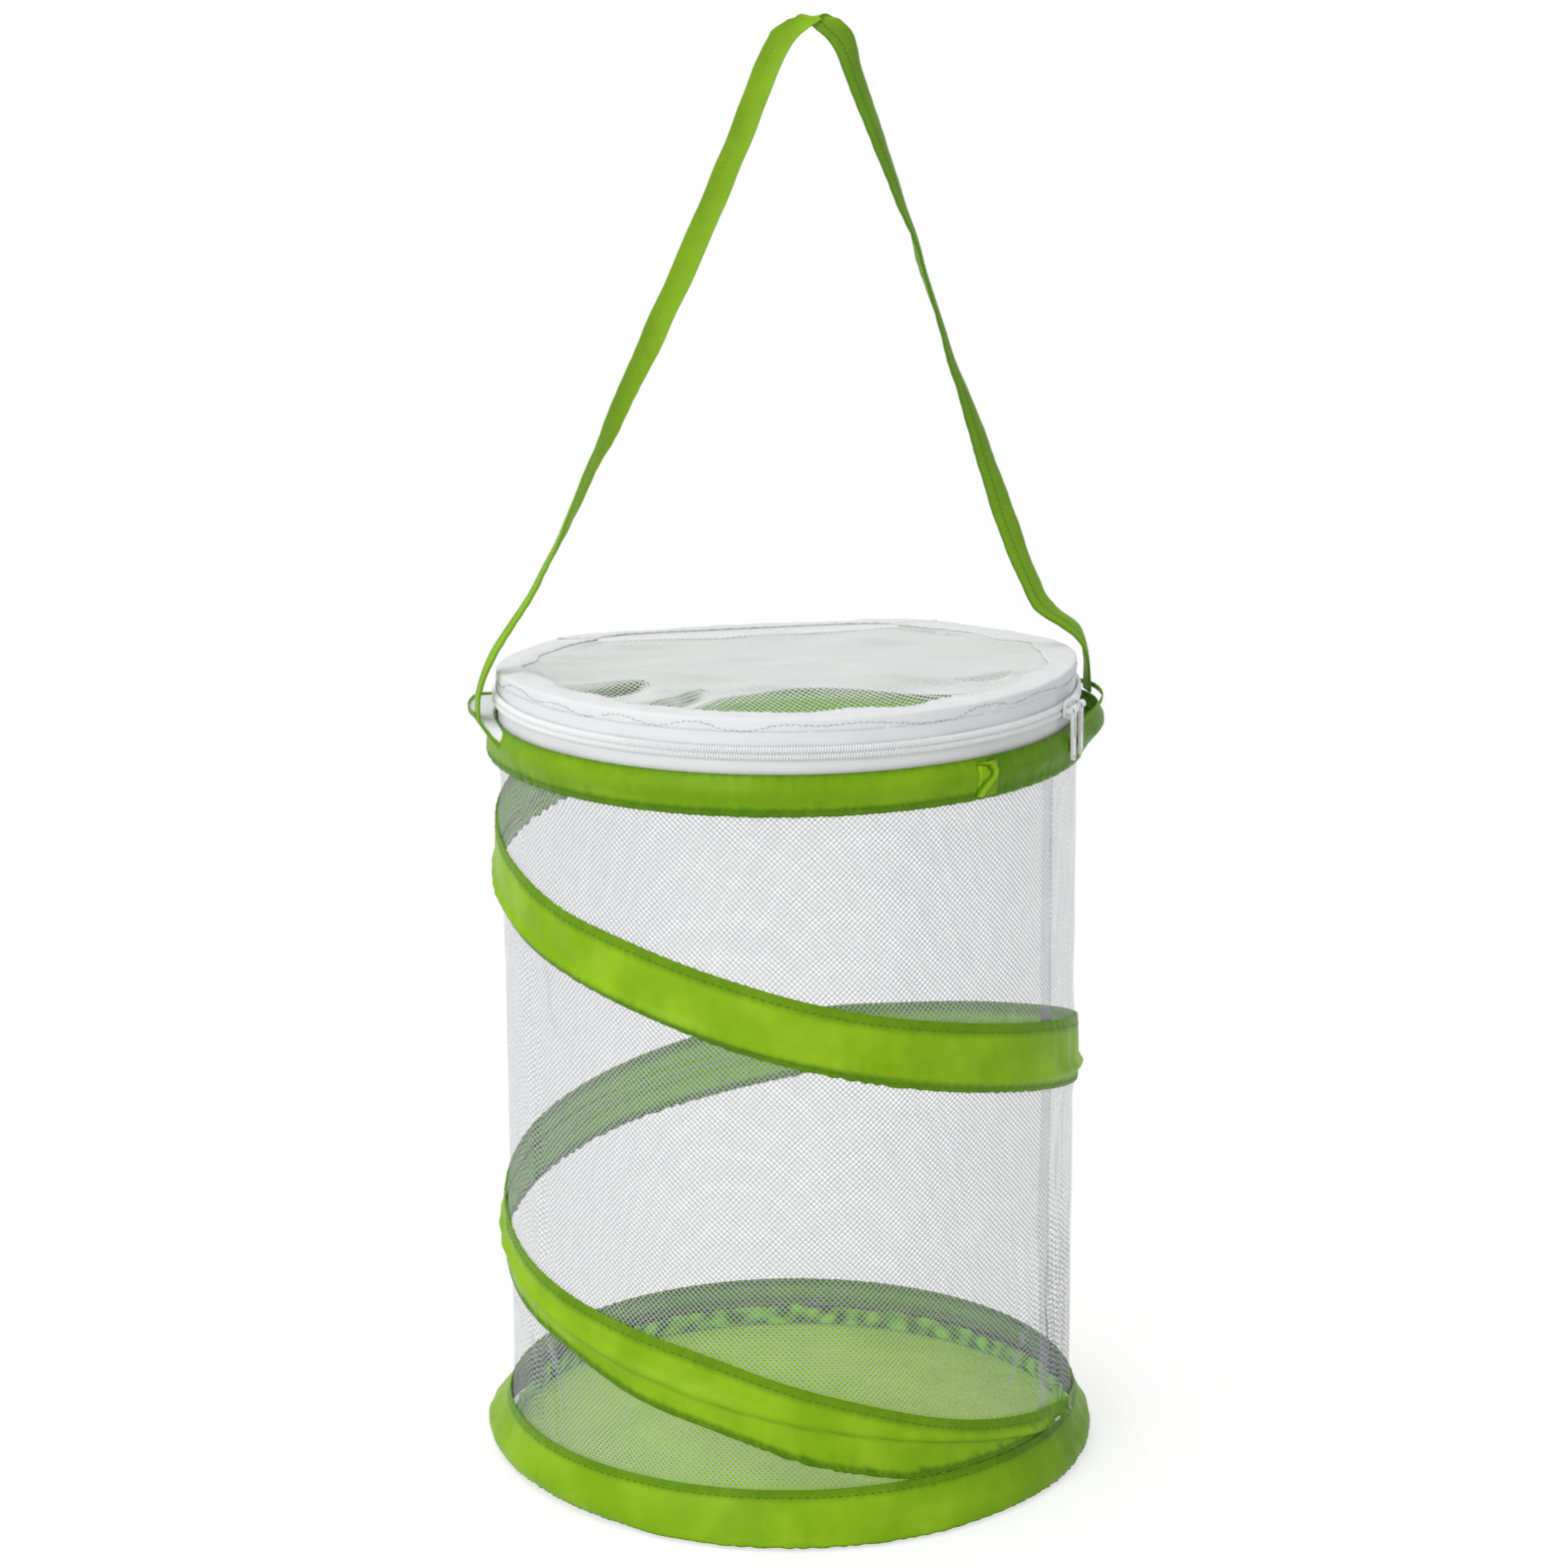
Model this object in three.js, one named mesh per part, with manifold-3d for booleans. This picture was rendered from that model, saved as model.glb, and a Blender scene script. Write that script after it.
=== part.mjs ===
// A collapsible insect cage: a round mesh wall held open by a two-turn spring in a cloth sleeve,
// with a hoop and sleeve at each end, a zipped mesh lid and a strap handle.
// Millimetres, +Z up. The origin is the middle of the floor's underside, and +X runs through the
// right-hand root of the handle, so the lid folds open on the +Y side.
import * as THREE from 'three';
import * as BufferGeometryUtils from 'three/addons/utils/BufferGeometryUtils.js';
import Module from 'manifold-3d';

const wasm = await Module();
wasm.setup();

// Cage
const wallRadius = 105.6; // outer face of the mesh wall
const meshThickness = 0.4;
const cageHeight = 280; // up to the rim sleeve's top edge
const clothThickness = 0.5;
const seatGap = 0.3; // left between faces that touch
const facetAngle = 6; // degrees between facets round the cage
const wireRadius = 0.75;

// Rim sleeve, round the top hoop
const rimSleeveHeight = 15;
const rimHoopDrop = 6; // hoop's centre below the sleeve's top edge
const sleeveCrown = 1.3; // half of the sleeve's full-depth stretch over a wire

// Base sleeve, round the bottom hoop, and floor
const floorThickness = 0.8;
const baseSleeveHeight = 16.5;
const baseFlare = 5; // how far the bottom hoop's centre stands outside the wall
const baseHoopHeight = 6;
const baseSleeveBottomFlare = 1.9;
const floorHemHeight = 8;

// Spiral sleeve and spring, which go down anticlockwise seen from above
const spiralStartAngle = -11; // degrees
const spiralTopRise = 5; // the sleeve's upper edge starts this far above the rim, hidden by it
const spiralEndHeight = 18; // its upper edge two turns later
const spiralWidthTop = 25.5;
const spiralWidthBottom = 23;
const spiralDropShares = [0, 0.064, 0.157, 0.315, 0.457, 0.588, 0.708, 0.858, 1]; // every quarter turn
const ridgeShareTop = 0.84; // where the wire lies across the sleeve, from its upper edge
const ridgeShareBottom = 0.41;
const ridgeShiftAngles = [300, 480]; // degrees from the start, where the wire wanders up the sleeve
const leastSleeve = 2; // the sleeve's width where it runs out under a ring
const leastWiredSleeve = 8; // and where the wire ends inside it
const tipLength = 6;
const tipDepth = 3.5; // how far the wire goes into its tip
const tipWall = 0.4;
const tipReach = 12; // degrees over which the wire stands off the wall for its tip

// Mesh wall
const wallTopOverlap = 0.5; // wall's top edge below the rim sleeve's
const foldDepth = 1.2;
const foldCount = 9;
const foldFade = 9; // length over which a fold dies away beside a sleeve
const wallRows = 7;
const seamWidth = 9;
const seamAngle = -38;

// Zip, which stands up round the rim
const tapeThickness = 0.5;
const zipRise = 7.2; // middle of the chain above the rim
const tapeOverlap = 10; // tape sewn inside the rim
const tapeEdgeGap = 0.5; // each tape's edge from the middle of the chain
const coilSetback = 0.6; // each coil's inner edge from the middle of the chain
const coilHeight = 2.3;
const coilDepth = 1.4;
const zipEndAngle = 45; // the zip stops here on the right and mirrored on the left
const zipEndMargin = 1.5; // degrees of tape beyond the coil
const stopWidth = 2.4;

// Lid
const lidRise = 18; // lid's mesh above the rim along the front
const lidFall = 6; // and how much lower it is at the fold
const hemWidth = 11.5;
const hemWave = 1.6;
const hemWaveCount = 13;
const hemLeg = 0.6; // hem's turned-down leg above the slider's inner plate
const lidWave = 2.2;
const lidWaveLength = 74;
const lidWaveMargin = 14; // flat strip of lid beside the hem
const foldGap = 0.6; // between the lid and the panel behind its fold
const lidRings = 6;
const openingPitch = 27; // the lid's net is cut in a plain grid, each opening for many fine ones
const openingSide = 20;

// Handle strap
const strapWidth = 10;
const strapThickness = 1.2;
const strapLie = 1; // each layer's middle from the handle's plane at the top fold
const handleRise = 245.5; // top fold above the root
const earBulge = 8.6; // leaves room for the sliders and their pulls to pass inside the root
const earHeight = 2.9; // its top stays below the sliders
const earHalfAngle = 14;
const leftLegShares = [
  [-1, 0], [-0.994, 0.035], [-0.952, 0.085], [-0.793, 0.208], [-0.502, 0.446], [-0.151, 0.815], [0.092, 1],
];
const rightLegShares = [
  [1, 0], [0.994, 0.035], [0.952, 0.085], [0.831, 0.158], [0.69, 0.325],
  [0.59, 0.446], [0.44, 0.638], [0.292, 0.811], [0.092, 1],
];
const leftTwistShares = [0.1, 0.36]; // how far up the leg its twist begins and ends
const rightLowTwistShares = [0.1, 0.3];
const rightHighTwistShares = [0.46, 0.84];

// Sliders and pulls
const sliderLength = 8.5;
const sliderPlate = 0.8;
const sliderFlange = 0.5;
const sliderNeck = 0.4; // thickness of the neck between the coils
const sliderNeckLength = 2.4;
const sliderClearance = 0.3;
const sliderMeetAngle = -31; // degrees, where the two sliders meet
const sliderMeetGap = 0.6;
const pinRadius = 0.6;
const postLength = 1.1;
const postWidth = 1.6;
const knuckleWall = 0.6;
const knuckleLength = 3.6;
const pullLength = 18.5;
const pullWidth = 3.8;
const pullTipWidth = 3;
const pullThickness = 1;
const pullSlotWidth = 1.3;
const pullSlotLength = 8.5;
const pullHoleRadius = 0.65;
const sliderOutlineShares = [[-0.5, 0.3], [-0.38, 0.36], [-0.08, 0.5], [0.36, 0.5], [0.5, 0.32]];
const sliderFlangeShares = [-0.08, 0.36]; // where the flange begins and ends along the slider
const sliderNeckShare = 0.4; // and the neck's outer end

// Lapped end of the rim sleeve's strip
const tuckAngle = -61;
const tuckWidth = 9;
const tuckHeightShares = [0.06, 0.3, 0.47, 0.62, 0.9]; // down the sleeve
const tuckDrawShare = 0.4; // how far its right edge is drawn towards the fold

// Derived sizes
const wallInner = wallRadius - meshThickness;
const lipRadius = wallRadius + seatGap + clothThickness / 2;
const wireLine = wallRadius + seatGap + wireRadius;
const crownRadius = wireLine + wireRadius + seatGap + clothThickness / 2;
const rimBottom = cageHeight - rimSleeveHeight;
const rimHoopHeight = cageHeight - rimHoopDrop;
const baseLip = floorThickness + seatGap;
const zipLine = cageHeight + zipRise;
const tapeOuter = wallInner - seatGap;
const tapeInner = tapeOuter - tapeThickness;
const coilInner = tapeOuter + seatGap;
const coilOuter = coilInner + coilDepth;
const sliderHalf = coilSetback + coilHeight + sliderClearance + sliderFlange;
const plateInner = coilOuter + sliderClearance + seatGap / 2;
const plateOuter = plateInner + sliderPlate;
const backPlateOuter = tapeInner - sliderClearance - seatGap / 2;
const knuckleRadius = pinRadius + sliderClearance + knuckleWall;
const pinLine = plateOuter + seatGap + knuckleRadius;
const lidTop = cageHeight + lidRise;
const foldLine = tapeOuter * Math.sin(THREE.MathUtils.degToRad(zipEndAngle));
const hemInner = tapeOuter - hemWidth;
const legOuter = tapeInner - seatGap;
const legInner = legOuter - clothThickness;
const legFoot = zipLine + sliderHalf + hemLeg;
const rightZipEnd = zipEndAngle;
const leftZipEnd = -180 - zipEndAngle;

const radians = THREE.MathUtils.degToRad;
const lerp = THREE.MathUtils.lerp;
const smoothstep = THREE.MathUtils.smoothstep;

const steel = new THREE.MeshStandardMaterial({ color: 0x6f7478, roughness: 0.35, metalness: 1 });
const greenCloth = new THREE.MeshStandardMaterial({ color: 0x6fae1f, roughness: 0.6, metalness: 0 });
const floorCloth = new THREE.MeshStandardMaterial({ color: 0x8cc23c, roughness: 0.75, metalness: 0 });
const whiteMesh = new THREE.MeshStandardMaterial({ color: 0xeef0f0, roughness: 0.8, metalness: 0 });
const whiteTape = new THREE.MeshStandardMaterial({ color: 0xf4f4f6, roughness: 0.85, metalness: 0 });
const whitePlastic = new THREE.MeshStandardMaterial({ color: 0xf6f6f8, roughness: 0.4, metalness: 0 });
const whiteEnamel = new THREE.MeshStandardMaterial({ color: 0xececf2, roughness: 0.3, metalness: 0.1 });
const strapCloth = new THREE.MeshStandardMaterial({ color: 0x77ad2a, roughness: 0.7, metalness: 0 });
const clearVinyl = new THREE.MeshStandardMaterial({ color: 0xd8d8d8, roughness: 0.4, metalness: 0 });

const cage = new THREE.Group();

function addPiece(name, geometry, material) {
  const mesh = new THREE.Mesh(geometry, material);
  mesh.name = name;
  cage.add(mesh);
  return mesh;
}

// A point on the cage from its angle in degrees, radius and height
function around(angle, radius, height) {
  const turn = radians(angle);
  return new THREE.Vector3(radius * Math.cos(turn), radius * Math.sin(turn), height);
}

// Angles from first to last that share the facets of every ring
function facetAngles(first, last) {
  const angles = [first];
  for (let k = Math.floor(first / facetAngle) + 1; k * facetAngle < last; k += 1) {
    if (k * facetAngle > first) {
      angles.push(k * facetAngle);
    }
  }
  angles.push(last);
  return angles;
}

// A closed solid between two grids of points, front[i][j] and back[i][j]. With ring, the last
// column joins the first.
function thickSheet(front, back, ring = false) {
  const triangles = [];
  const face = (a, b, c) => {
    if (!a.equals(b) && !b.equals(c) && !c.equals(a)) {
      triangles.push(a, b, c);
    }
  };
  const quad = (a, b, c, d) => {
    face(a, b, c);
    face(a, c, d);
  };
  const count = front.length;
  const last = front[0].length - 1;
  const columns = ring ? count : count - 1;
  for (let i = 0; i < columns; i += 1) {
    const n = (i + 1) % count;
    for (let j = 0; j < last; j += 1) {
      quad(front[i][j], front[n][j], front[n][j + 1], front[i][j + 1]);
      quad(back[i][j], back[i][j + 1], back[n][j + 1], back[n][j]);
    }
    quad(front[i][0], back[i][0], back[n][0], front[n][0]);
    quad(front[i][last], front[n][last], back[n][last], back[i][last]);
  }
  if (!ring) {
    for (let j = 0; j < last; j += 1) {
      quad(front[0][j], front[0][j + 1], back[0][j + 1], back[0][j]);
      quad(front[columns][j], back[columns][j], back[columns][j + 1], front[columns][j + 1]);
    }
  }
  return facingOut(new THREE.BufferGeometry().setFromPoints(triangles));
}

// The same solid with its faces pointing out
function facingOut(geometry) {
  const corners = geometry.attributes.position;
  const points = [];
  let volume = 0;
  for (let k = 0; k < corners.count; k += 3) {
    const [a, b, c] = [0, 1, 2].map((n) => new THREE.Vector3().fromBufferAttribute(corners, k + n));
    volume += a.dot(b.clone().cross(c));
    points.push(a, c, b);
  }
  return volume < 0 ? new THREE.BufferGeometry().setFromPoints(points) : geometry;
}

// A band round part of the cage, of upright section: profileAt(angle) gives the middle of the
// cloth as [radius, height] pairs, and the cloth lies half its thickness to each side
function clothBand(angles, thickness, profileAt, ring = false) {
  const side = (shift) => angles.map(
    (angle) => profileAt(angle).map(([radius, height]) => around(angle, radius + shift, height)),
  );
  return thickSheet(side(thickness / 2), side(-thickness / 2), ring);
}

const wholeTurn = facetAngles(0, 360).slice(0, -1);

// Manifold solids, for joining and cutting
function toSolid(geometry) {
  const bare = geometry.clone();
  bare.deleteAttribute('normal');
  bare.deleteAttribute('uv');
  const merged = BufferGeometryUtils.mergeVertices(bare);
  const vertProperties = new Float32Array(merged.attributes.position.array);
  const triVerts = new Uint32Array(merged.index.array);
  return new wasm.Manifold(new wasm.Mesh({ numProp: 3, vertProperties, triVerts }));
}

function toGeometry(solid) {
  const mesh = solid.getMesh();
  const geometry = new THREE.BufferGeometry();
  geometry.setAttribute('position', new THREE.BufferAttribute(mesh.vertProperties, mesh.numProp));
  geometry.setIndex(new THREE.BufferAttribute(mesh.triVerts, 1));
  return geometry;
}

function joined(geometries) {
  return toGeometry(geometries.map(toSolid).reduce((sum, next) => sum.add(next)));
}

// Spiral: how far its sleeve has come down, and where its wire lies
const spiralTop = cageHeight + spiralTopRise;
const quarterTurn = 90;
const spiralTurns = (spiralDropShares.length - 1) * quarterTurn;
const dropCurve = new THREE.CubicInterpolant(
  spiralDropShares.map((share, k) => k * quarterTurn),
  spiralDropShares,
  1,
);

function spiralEdges(angle) {
  const travelled = THREE.MathUtils.clamp(angle - spiralStartAngle, 0, spiralTurns);
  const upper = lerp(spiralTop, spiralEndHeight, dropCurve.evaluate(travelled)[0]);
  const width = lerp(spiralWidthTop, spiralWidthBottom, travelled / spiralTurns);
  const shift = smoothstep(travelled, ...ridgeShiftAngles);
  const ridge = upper - width * lerp(ridgeShareTop, ridgeShareBottom, shift);
  const top = Math.min(upper, rimBottom - seatGap);
  const bottom = Math.max(upper - width, baseSleeveHeight + seatGap);
  const inset = Math.min(leastWiredSleeve / 2 - seatGap, (top - bottom) / 2);
  return { top, bottom, ridge: THREE.MathUtils.clamp(ridge, bottom + inset, top - inset) };
}

// First or last facet angle at which the sleeve is at least this wide
function spiralReach(leastWidth, step) {
  const first = step > 0 ? spiralStartAngle - quarterTurn : spiralStartAngle + spiralTurns + quarterTurn;
  let angle = Math.ceil(first / facetAngle) * facetAngle;
  const width = () => spiralEdges(angle).top - spiralEdges(angle).bottom;
  while (width() < leastWidth) {
    angle += step * facetAngle;
  }
  return angle;
}

const sleeveFirst = spiralReach(leastSleeve, 1);
const sleeveLast = spiralReach(leastSleeve, -1);
const wireFirst = spiralReach(leastWiredSleeve, 1);
const wireLast = spiralReach(leastWiredSleeve, -1);
const tipOuter = wireRadius + seatGap + tipWall;
const tipStandOff = tipOuter - wireRadius;

// How much further from the wall the spring lies, so that its tips clear the mesh
function standOff(angle) {
  const inside = Math.min(angle - wireFirst, wireLast - angle);
  return tipStandOff * (1 - smoothstep(inside, 0, tipReach));
}

function makeSpiralSleeve() {
  const profileAt = (angle) => {
    const { top, bottom, ridge } = spiralEdges(angle);
    const near = Math.max(wireFirst - angle, angle - wireLast);
    const filled = 1 - smoothstep(near, facetAngle, 3 * facetAngle);
    const crown = lerp(lipRadius, crownRadius + 2 * standOff(angle), filled);
    const half = Math.min(sleeveCrown + 2 * standOff(angle), (top - bottom) / 4);
    const over = Math.min(top - half / 2, ridge + half);
    const under = Math.max(bottom + half / 2, ridge - half);
    return [
      [lipRadius, top],
      [lerp(lipRadius, crown, 1 / 3), lerp(top, over, 1 / 2)],
      [crown, over],
      [crown, under],
      [lerp(lipRadius, crown, 1 / 3), lerp(bottom, under, 1 / 2)],
      [lipRadius, bottom],
    ];
  };
  return clothBand(facetAngles(sleeveFirst, sleeveLast), clothThickness, profileAt);
}

class SpiralCurve extends THREE.Curve {
  getPoint(t, target = new THREE.Vector3()) {
    const angle = lerp(wireFirst, wireLast, t);
    return target.copy(around(angle, wireLine + standOff(angle), spiralEdges(angle).ridge));
  }
}

function roundShape(radius, sides) {
  const corners = [];
  for (let k = 0; k < sides; k += 1) {
    const turn = (2 * Math.PI * k) / sides;
    corners.push(new THREE.Vector2(radius * Math.cos(turn), radius * Math.sin(turn)));
  }
  return new THREE.Shape(corners);
}

function makeSpiralWire() {
  const steps = (wireLast - wireFirst) / facetAngle;
  return new THREE.ExtrudeGeometry(roundShape(wireRadius, 5), {
    steps,
    bevelEnabled: false,
    extrudePath: new SpiralCurve(),
  });
}

// The spring's turns lie far apart. The least gap is measured on points a facet apart.
function leastTurnGap() {
  const curve = new SpiralCurve();
  const count = (wireLast - wireFirst) / facetAngle;
  const points = curve.getPoints(count);
  const apart = quarterTurn / facetAngle;
  let least = Infinity;
  points.forEach((point, k) => {
    for (let n = k + apart; n < points.length; n += 1) {
      least = Math.min(least, point.distanceTo(points[n]) - 2 * wireRadius);
    }
  });
  return least;
}

// A moulded tip on each end of the spring, with a blind bore for the wire
function makeTip(atStart) {
  const curve = new SpiralCurve();
  const end = curve.getPoint(atStart ? 0 : 1);
  const out = curve.getTangent(atStart ? 0 : 1).multiplyScalar(atStart ? -1 : 1);
  const bore = wireRadius + seatGap;
  const profile = [
    [0, seatGap],
    [bore, seatGap],
    [bore, -tipDepth],
    [tipOuter, -tipDepth],
    [tipOuter, tipLength - tipDepth - tipOuter / 2],
    [tipOuter / 2, tipLength - tipDepth],
    [0, tipLength - tipDepth],
  ].map(([radius, along]) => new THREE.Vector2(radius, along));
  const geometry = new THREE.LatheGeometry(profile, 8);
  const turned = new THREE.Quaternion().setFromUnitVectors(new THREE.Vector3(0, 1, 0), out);
  geometry.applyQuaternion(turned);
  geometry.translate(end.x, end.y, end.z);
  return geometry;
}

// Sleeves of the two hoops: upright profiles turned round the cage
function makeRimSleeve() {
  return clothBand(wholeTurn, clothThickness, rimProfile, true);
}

function rimProfile() {
  return [
    [lipRadius, cageHeight],
    [lerp(lipRadius, crownRadius, 1 / 2), lerp(cageHeight, rimHoopHeight + sleeveCrown, 2 / 3)],
    [crownRadius, rimHoopHeight + sleeveCrown],
    [crownRadius, rimHoopHeight - sleeveCrown],
    [lerp(lipRadius, crownRadius, 1 / 3), lerp(rimBottom, rimHoopHeight - sleeveCrown, 1 / 2)],
    [lipRadius, rimBottom],
  ];
}

const baseHoopRadius = wallRadius + baseFlare;

function makeBaseSleeve() {
  const clear = wireRadius + seatGap + clothThickness / 2;
  const outer = baseHoopRadius + clear;
  const slant = clear * Math.SQRT1_2;
  const profileAt = () => [
    [lipRadius, baseSleeveHeight],
    [lerp(lipRadius, baseHoopRadius, 1 / 4), lerp(baseSleeveHeight, baseHoopHeight, 1 / 3)],
    [baseHoopRadius + slant, baseHoopHeight + 2 * slant],
    [outer, baseHoopHeight + slant],
    [outer, baseHoopHeight - slant],
    [baseHoopRadius + slant, baseHoopHeight - 2 * slant],
    [wallRadius + baseSleeveBottomFlare, baseLip],
  ];
  return clothBand(wholeTurn, clothThickness, profileAt, true);
}

function makeHoop(radius, height) {
  const hoop = new THREE.TorusGeometry(radius, wireRadius, 5, 360 / facetAngle);
  hoop.translate(0, 0, height);
  return hoop;
}

function makeFloor() {
  const edge = wallRadius + baseSleeveBottomFlare + clothThickness;
  const profile = [[0, 0], [edge, 0], [edge, floorThickness], [0, floorThickness]];
  const floor = new THREE.LatheGeometry(profile.map(([r, z]) => new THREE.Vector2(r, z)), 360 / facetAngle);
  floor.rotateX(Math.PI / 2);
  return floor;
}

// The mesh wall sags inward in soft upright folds wherever no sleeve holds it out
function foldAt(angle, height) {
  let free = Math.min(rimBottom - height, height - baseSleeveHeight);
  for (let turned = angle - 360; turned <= spiralStartAngle + spiralTurns; turned += 360) {
    if (turned > sleeveFirst - facetAngle && turned < sleeveLast + facetAngle) {
      const edges = spiralEdges(turned);
      const away = Math.max(height - edges.top, edges.bottom - height);
      free = Math.min(free, away);
    }
  }
  const wave = 0.5 - 0.5 * Math.cos(radians(foldCount * angle + (height / cageHeight) * quarterTurn));
  return foldDepth * wave * smoothstep(free, 0, foldFade);
}

function makeWall() {
  const heights = [cageHeight - wallTopOverlap];
  for (let row = 0; row <= wallRows; row += 1) {
    heights.push(lerp(rimBottom, baseSleeveHeight, row / wallRows));
  }
  heights.push(baseLip);
  const middle = wallRadius - meshThickness / 2;
  const profileAt = (angle) => heights.map((height) => [middle - foldAt(angle, height), height]);
  return clothBand(wholeTurn, meshThickness, profileAt, true);
}

function makeWallSeam() {
  const half = THREE.MathUtils.radToDeg(seamWidth / 2 / wallInner);
  const top = cageHeight - tapeOverlap - seatGap;
  const bottom = baseLip + floorHemHeight + seatGap;
  const profileAt = (angle) => {
    const points = [];
    for (let row = 0; row <= wallRows; row += 1) {
      const height = lerp(top, bottom, row / wallRows);
      points.push([wallInner - seatGap - meshThickness / 2 - foldDepth, height]);
    }
    return points;
  };
  return clothBand([seamAngle - half, seamAngle, seamAngle + half], meshThickness, profileAt);
}

// Zip: tapes and coils stand upright round the rim. edgesAt(angle) gives a band's upper and lower
// edges.
function uprightBand([first, last], radius, thickness, edgesAt) {
  const profileAt = (angle) => edgesAt(angle).map((height) => [radius, height]);
  return clothBand(facetAngles(first, last), thickness, profileAt);
}

// The lid's mesh runs level over the front and falls towards its fold
function lidHeight(y) {
  return lidTop - lidFall * smoothstep(y, -foldLine / 2, foldLine);
}

function lidEdgeHeight(angle) {
  return lidHeight(tapeOuter * Math.sin(radians(angle)));
}

const tapeMiddle = tapeOuter - tapeThickness / 2;
const tapeFoot = cageHeight - tapeOverlap;
const lidSpan = [leftZipEnd + zipEndMargin, rightZipEnd - zipEndMargin];

function makeLowerTape() {
  const edges = [zipLine - tapeEdgeGap, tapeFoot];
  return uprightBand([leftZipEnd, rightZipEnd], tapeMiddle, tapeThickness, () => edges);
}

function makeUpperTape() {
  const edgesAt = (angle) => [lidEdgeHeight(angle) + meshThickness / 2, zipLine + tapeEdgeGap];
  return uprightBand(lidSpan, tapeMiddle, tapeThickness, edgesAt);
}

// A coil is a rounded bead on the tape's outer face
function makeCoil(side) {
  const near = zipLine + side * coilSetback;
  const far = near + side * coilHeight;
  const heights = [near, lerp(near, far, 1 / 4), lerp(near, far, 3 / 4), far];
  const depths = [coilDepth / 2, coilDepth, coilDepth, coilDepth / 2];
  const angles = facetAngles(leftZipEnd + 2 * zipEndMargin, rightZipEnd - 2 * zipEndMargin);
  const face = (angle) => heights.map((height, k) => around(angle, coilInner + depths[k], height));
  const back = (angle) => heights.map((height) => around(angle, coilInner, height));
  return thickSheet(angles.map(face), angles.map(back));
}

// A folded metal stop on the lower tape at each end, just beyond the coil
function makeStop(angle) {
  const half = sliderHalf - sliderFlange;
  const outline = new THREE.Shape([
    new THREE.Vector2(-stopWidth / 2, -half),
    new THREE.Vector2(stopWidth / 2, -half),
    new THREE.Vector2(stopWidth / 2, -tapeEdgeGap),
    new THREE.Vector2(-stopWidth / 2, -tapeEdgeGap),
  ]);
  const stop = new THREE.ExtrudeGeometry(outline, { depth: coilDepth, bevelEnabled: false });
  stop.rotateX(Math.PI / 2);
  stop.translate(0, coilOuter, zipLine);
  stop.rotateZ(radians(angle) - Math.PI / 2);
  return stop;
}

// Behind the fold, a white band, a mesh panel and its hem stay with the rim
const panelEdge = foldLine + foldGap / 2;
const lidEdge = foldLine - foldGap / 2;

const rearHeight = lidTop - lidFall;

function makeRearBand() {
  const first = rightZipEnd + zipEndMargin / 2;
  const edges = [rearHeight - meshThickness / 2 - seatGap, tapeFoot];
  return uprightBand([first, 180 - first], tapeMiddle, tapeThickness, () => edges);
}

function makeRearPanel() {
  const reach = Math.sqrt(tapeOuter ** 2 - (panelEdge + clothThickness) ** 2);
  const columns = 16;
  const rows = 3;
  const layer = (shift) => {
    const grid = [];
    for (let i = 0; i <= columns; i += 1) {
      const x = lerp(-reach, reach, i / columns);
      const arc = Math.sqrt(tapeInner ** 2 - x ** 2);
      const farEdge = Math.max(arc, panelEdge + clothThickness / 2);
      const column = [];
      for (let j = 0; j <= rows; j += 1) {
        column.push(new THREE.Vector3(x, lerp(panelEdge, farEdge, j / rows), rearHeight + shift));
      }
      grid.push(column);
    }
    return grid;
  };
  return thickSheet(layer(meshThickness / 2), layer(-meshThickness / 2));
}

const hemLift = meshThickness / 2 + seatGap;

function makeRearHem() {
  const first = rightZipEnd + zipEndMargin;
  const angles = facetAngles(first, 180 - first);
  const low = rearHeight + hemLift;
  const layer = (height) => angles.map((angle) => {
    const inner = Math.max(hemInner, panelEdge / Math.sin(radians(angle)));
    return [around(angle, tapeOuter, height), around(angle, inner, height)];
  });
  return thickSheet(layer(low + clothThickness), layer(low));
}

// Lid mesh: rings of points from the middle out, cut straight at the fold, with soft waves
function lidReach(angle) {
  const rise = Math.sin(radians(angle));
  const rim = legInner - seatGap;
  return rise > 0 ? Math.min(rim, lidEdge / rise) : rim;
}

function lidPoint(angle, share) {
  const radius = lidReach(angle) * share;
  const point = around(angle, radius, 0);
  const inset = Math.min(hemInner - hemWave - radius, lidEdge - point.y);
  const calm = smoothstep(inset, 0, lidWaveMargin);
  const phase = (2 * Math.PI) / lidWaveLength;
  const along = Math.sin(phase * (point.y + point.x / 3));
  const across = Math.cos(phase * (point.x - point.y / 2) * (3 / 4));
  point.z = lidHeight(point.y) - lidWave * calm * (1 + along * across);
  return point;
}

function makeLidMesh() {
  const corner = THREE.MathUtils.radToDeg(Math.asin(lidEdge / (legInner - seatGap)));
  const front = facetAngles(180 - corner, 360 + corner).slice(1, -1);
  const angles = [...facetAngles(corner, 180 - corner), ...front];
  const layer = (shift) => angles.map((angle) => {
    const column = [];
    for (let ring = 0; ring <= lidRings; ring += 1) {
      column.push(lidPoint(angle, 1 - ring / lidRings).add(new THREE.Vector3(0, 0, shift)));
    }
    return column;
  });
  return thickSheet(layer(meshThickness / 2), layer(-meshThickness / 2), true);
}

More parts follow.
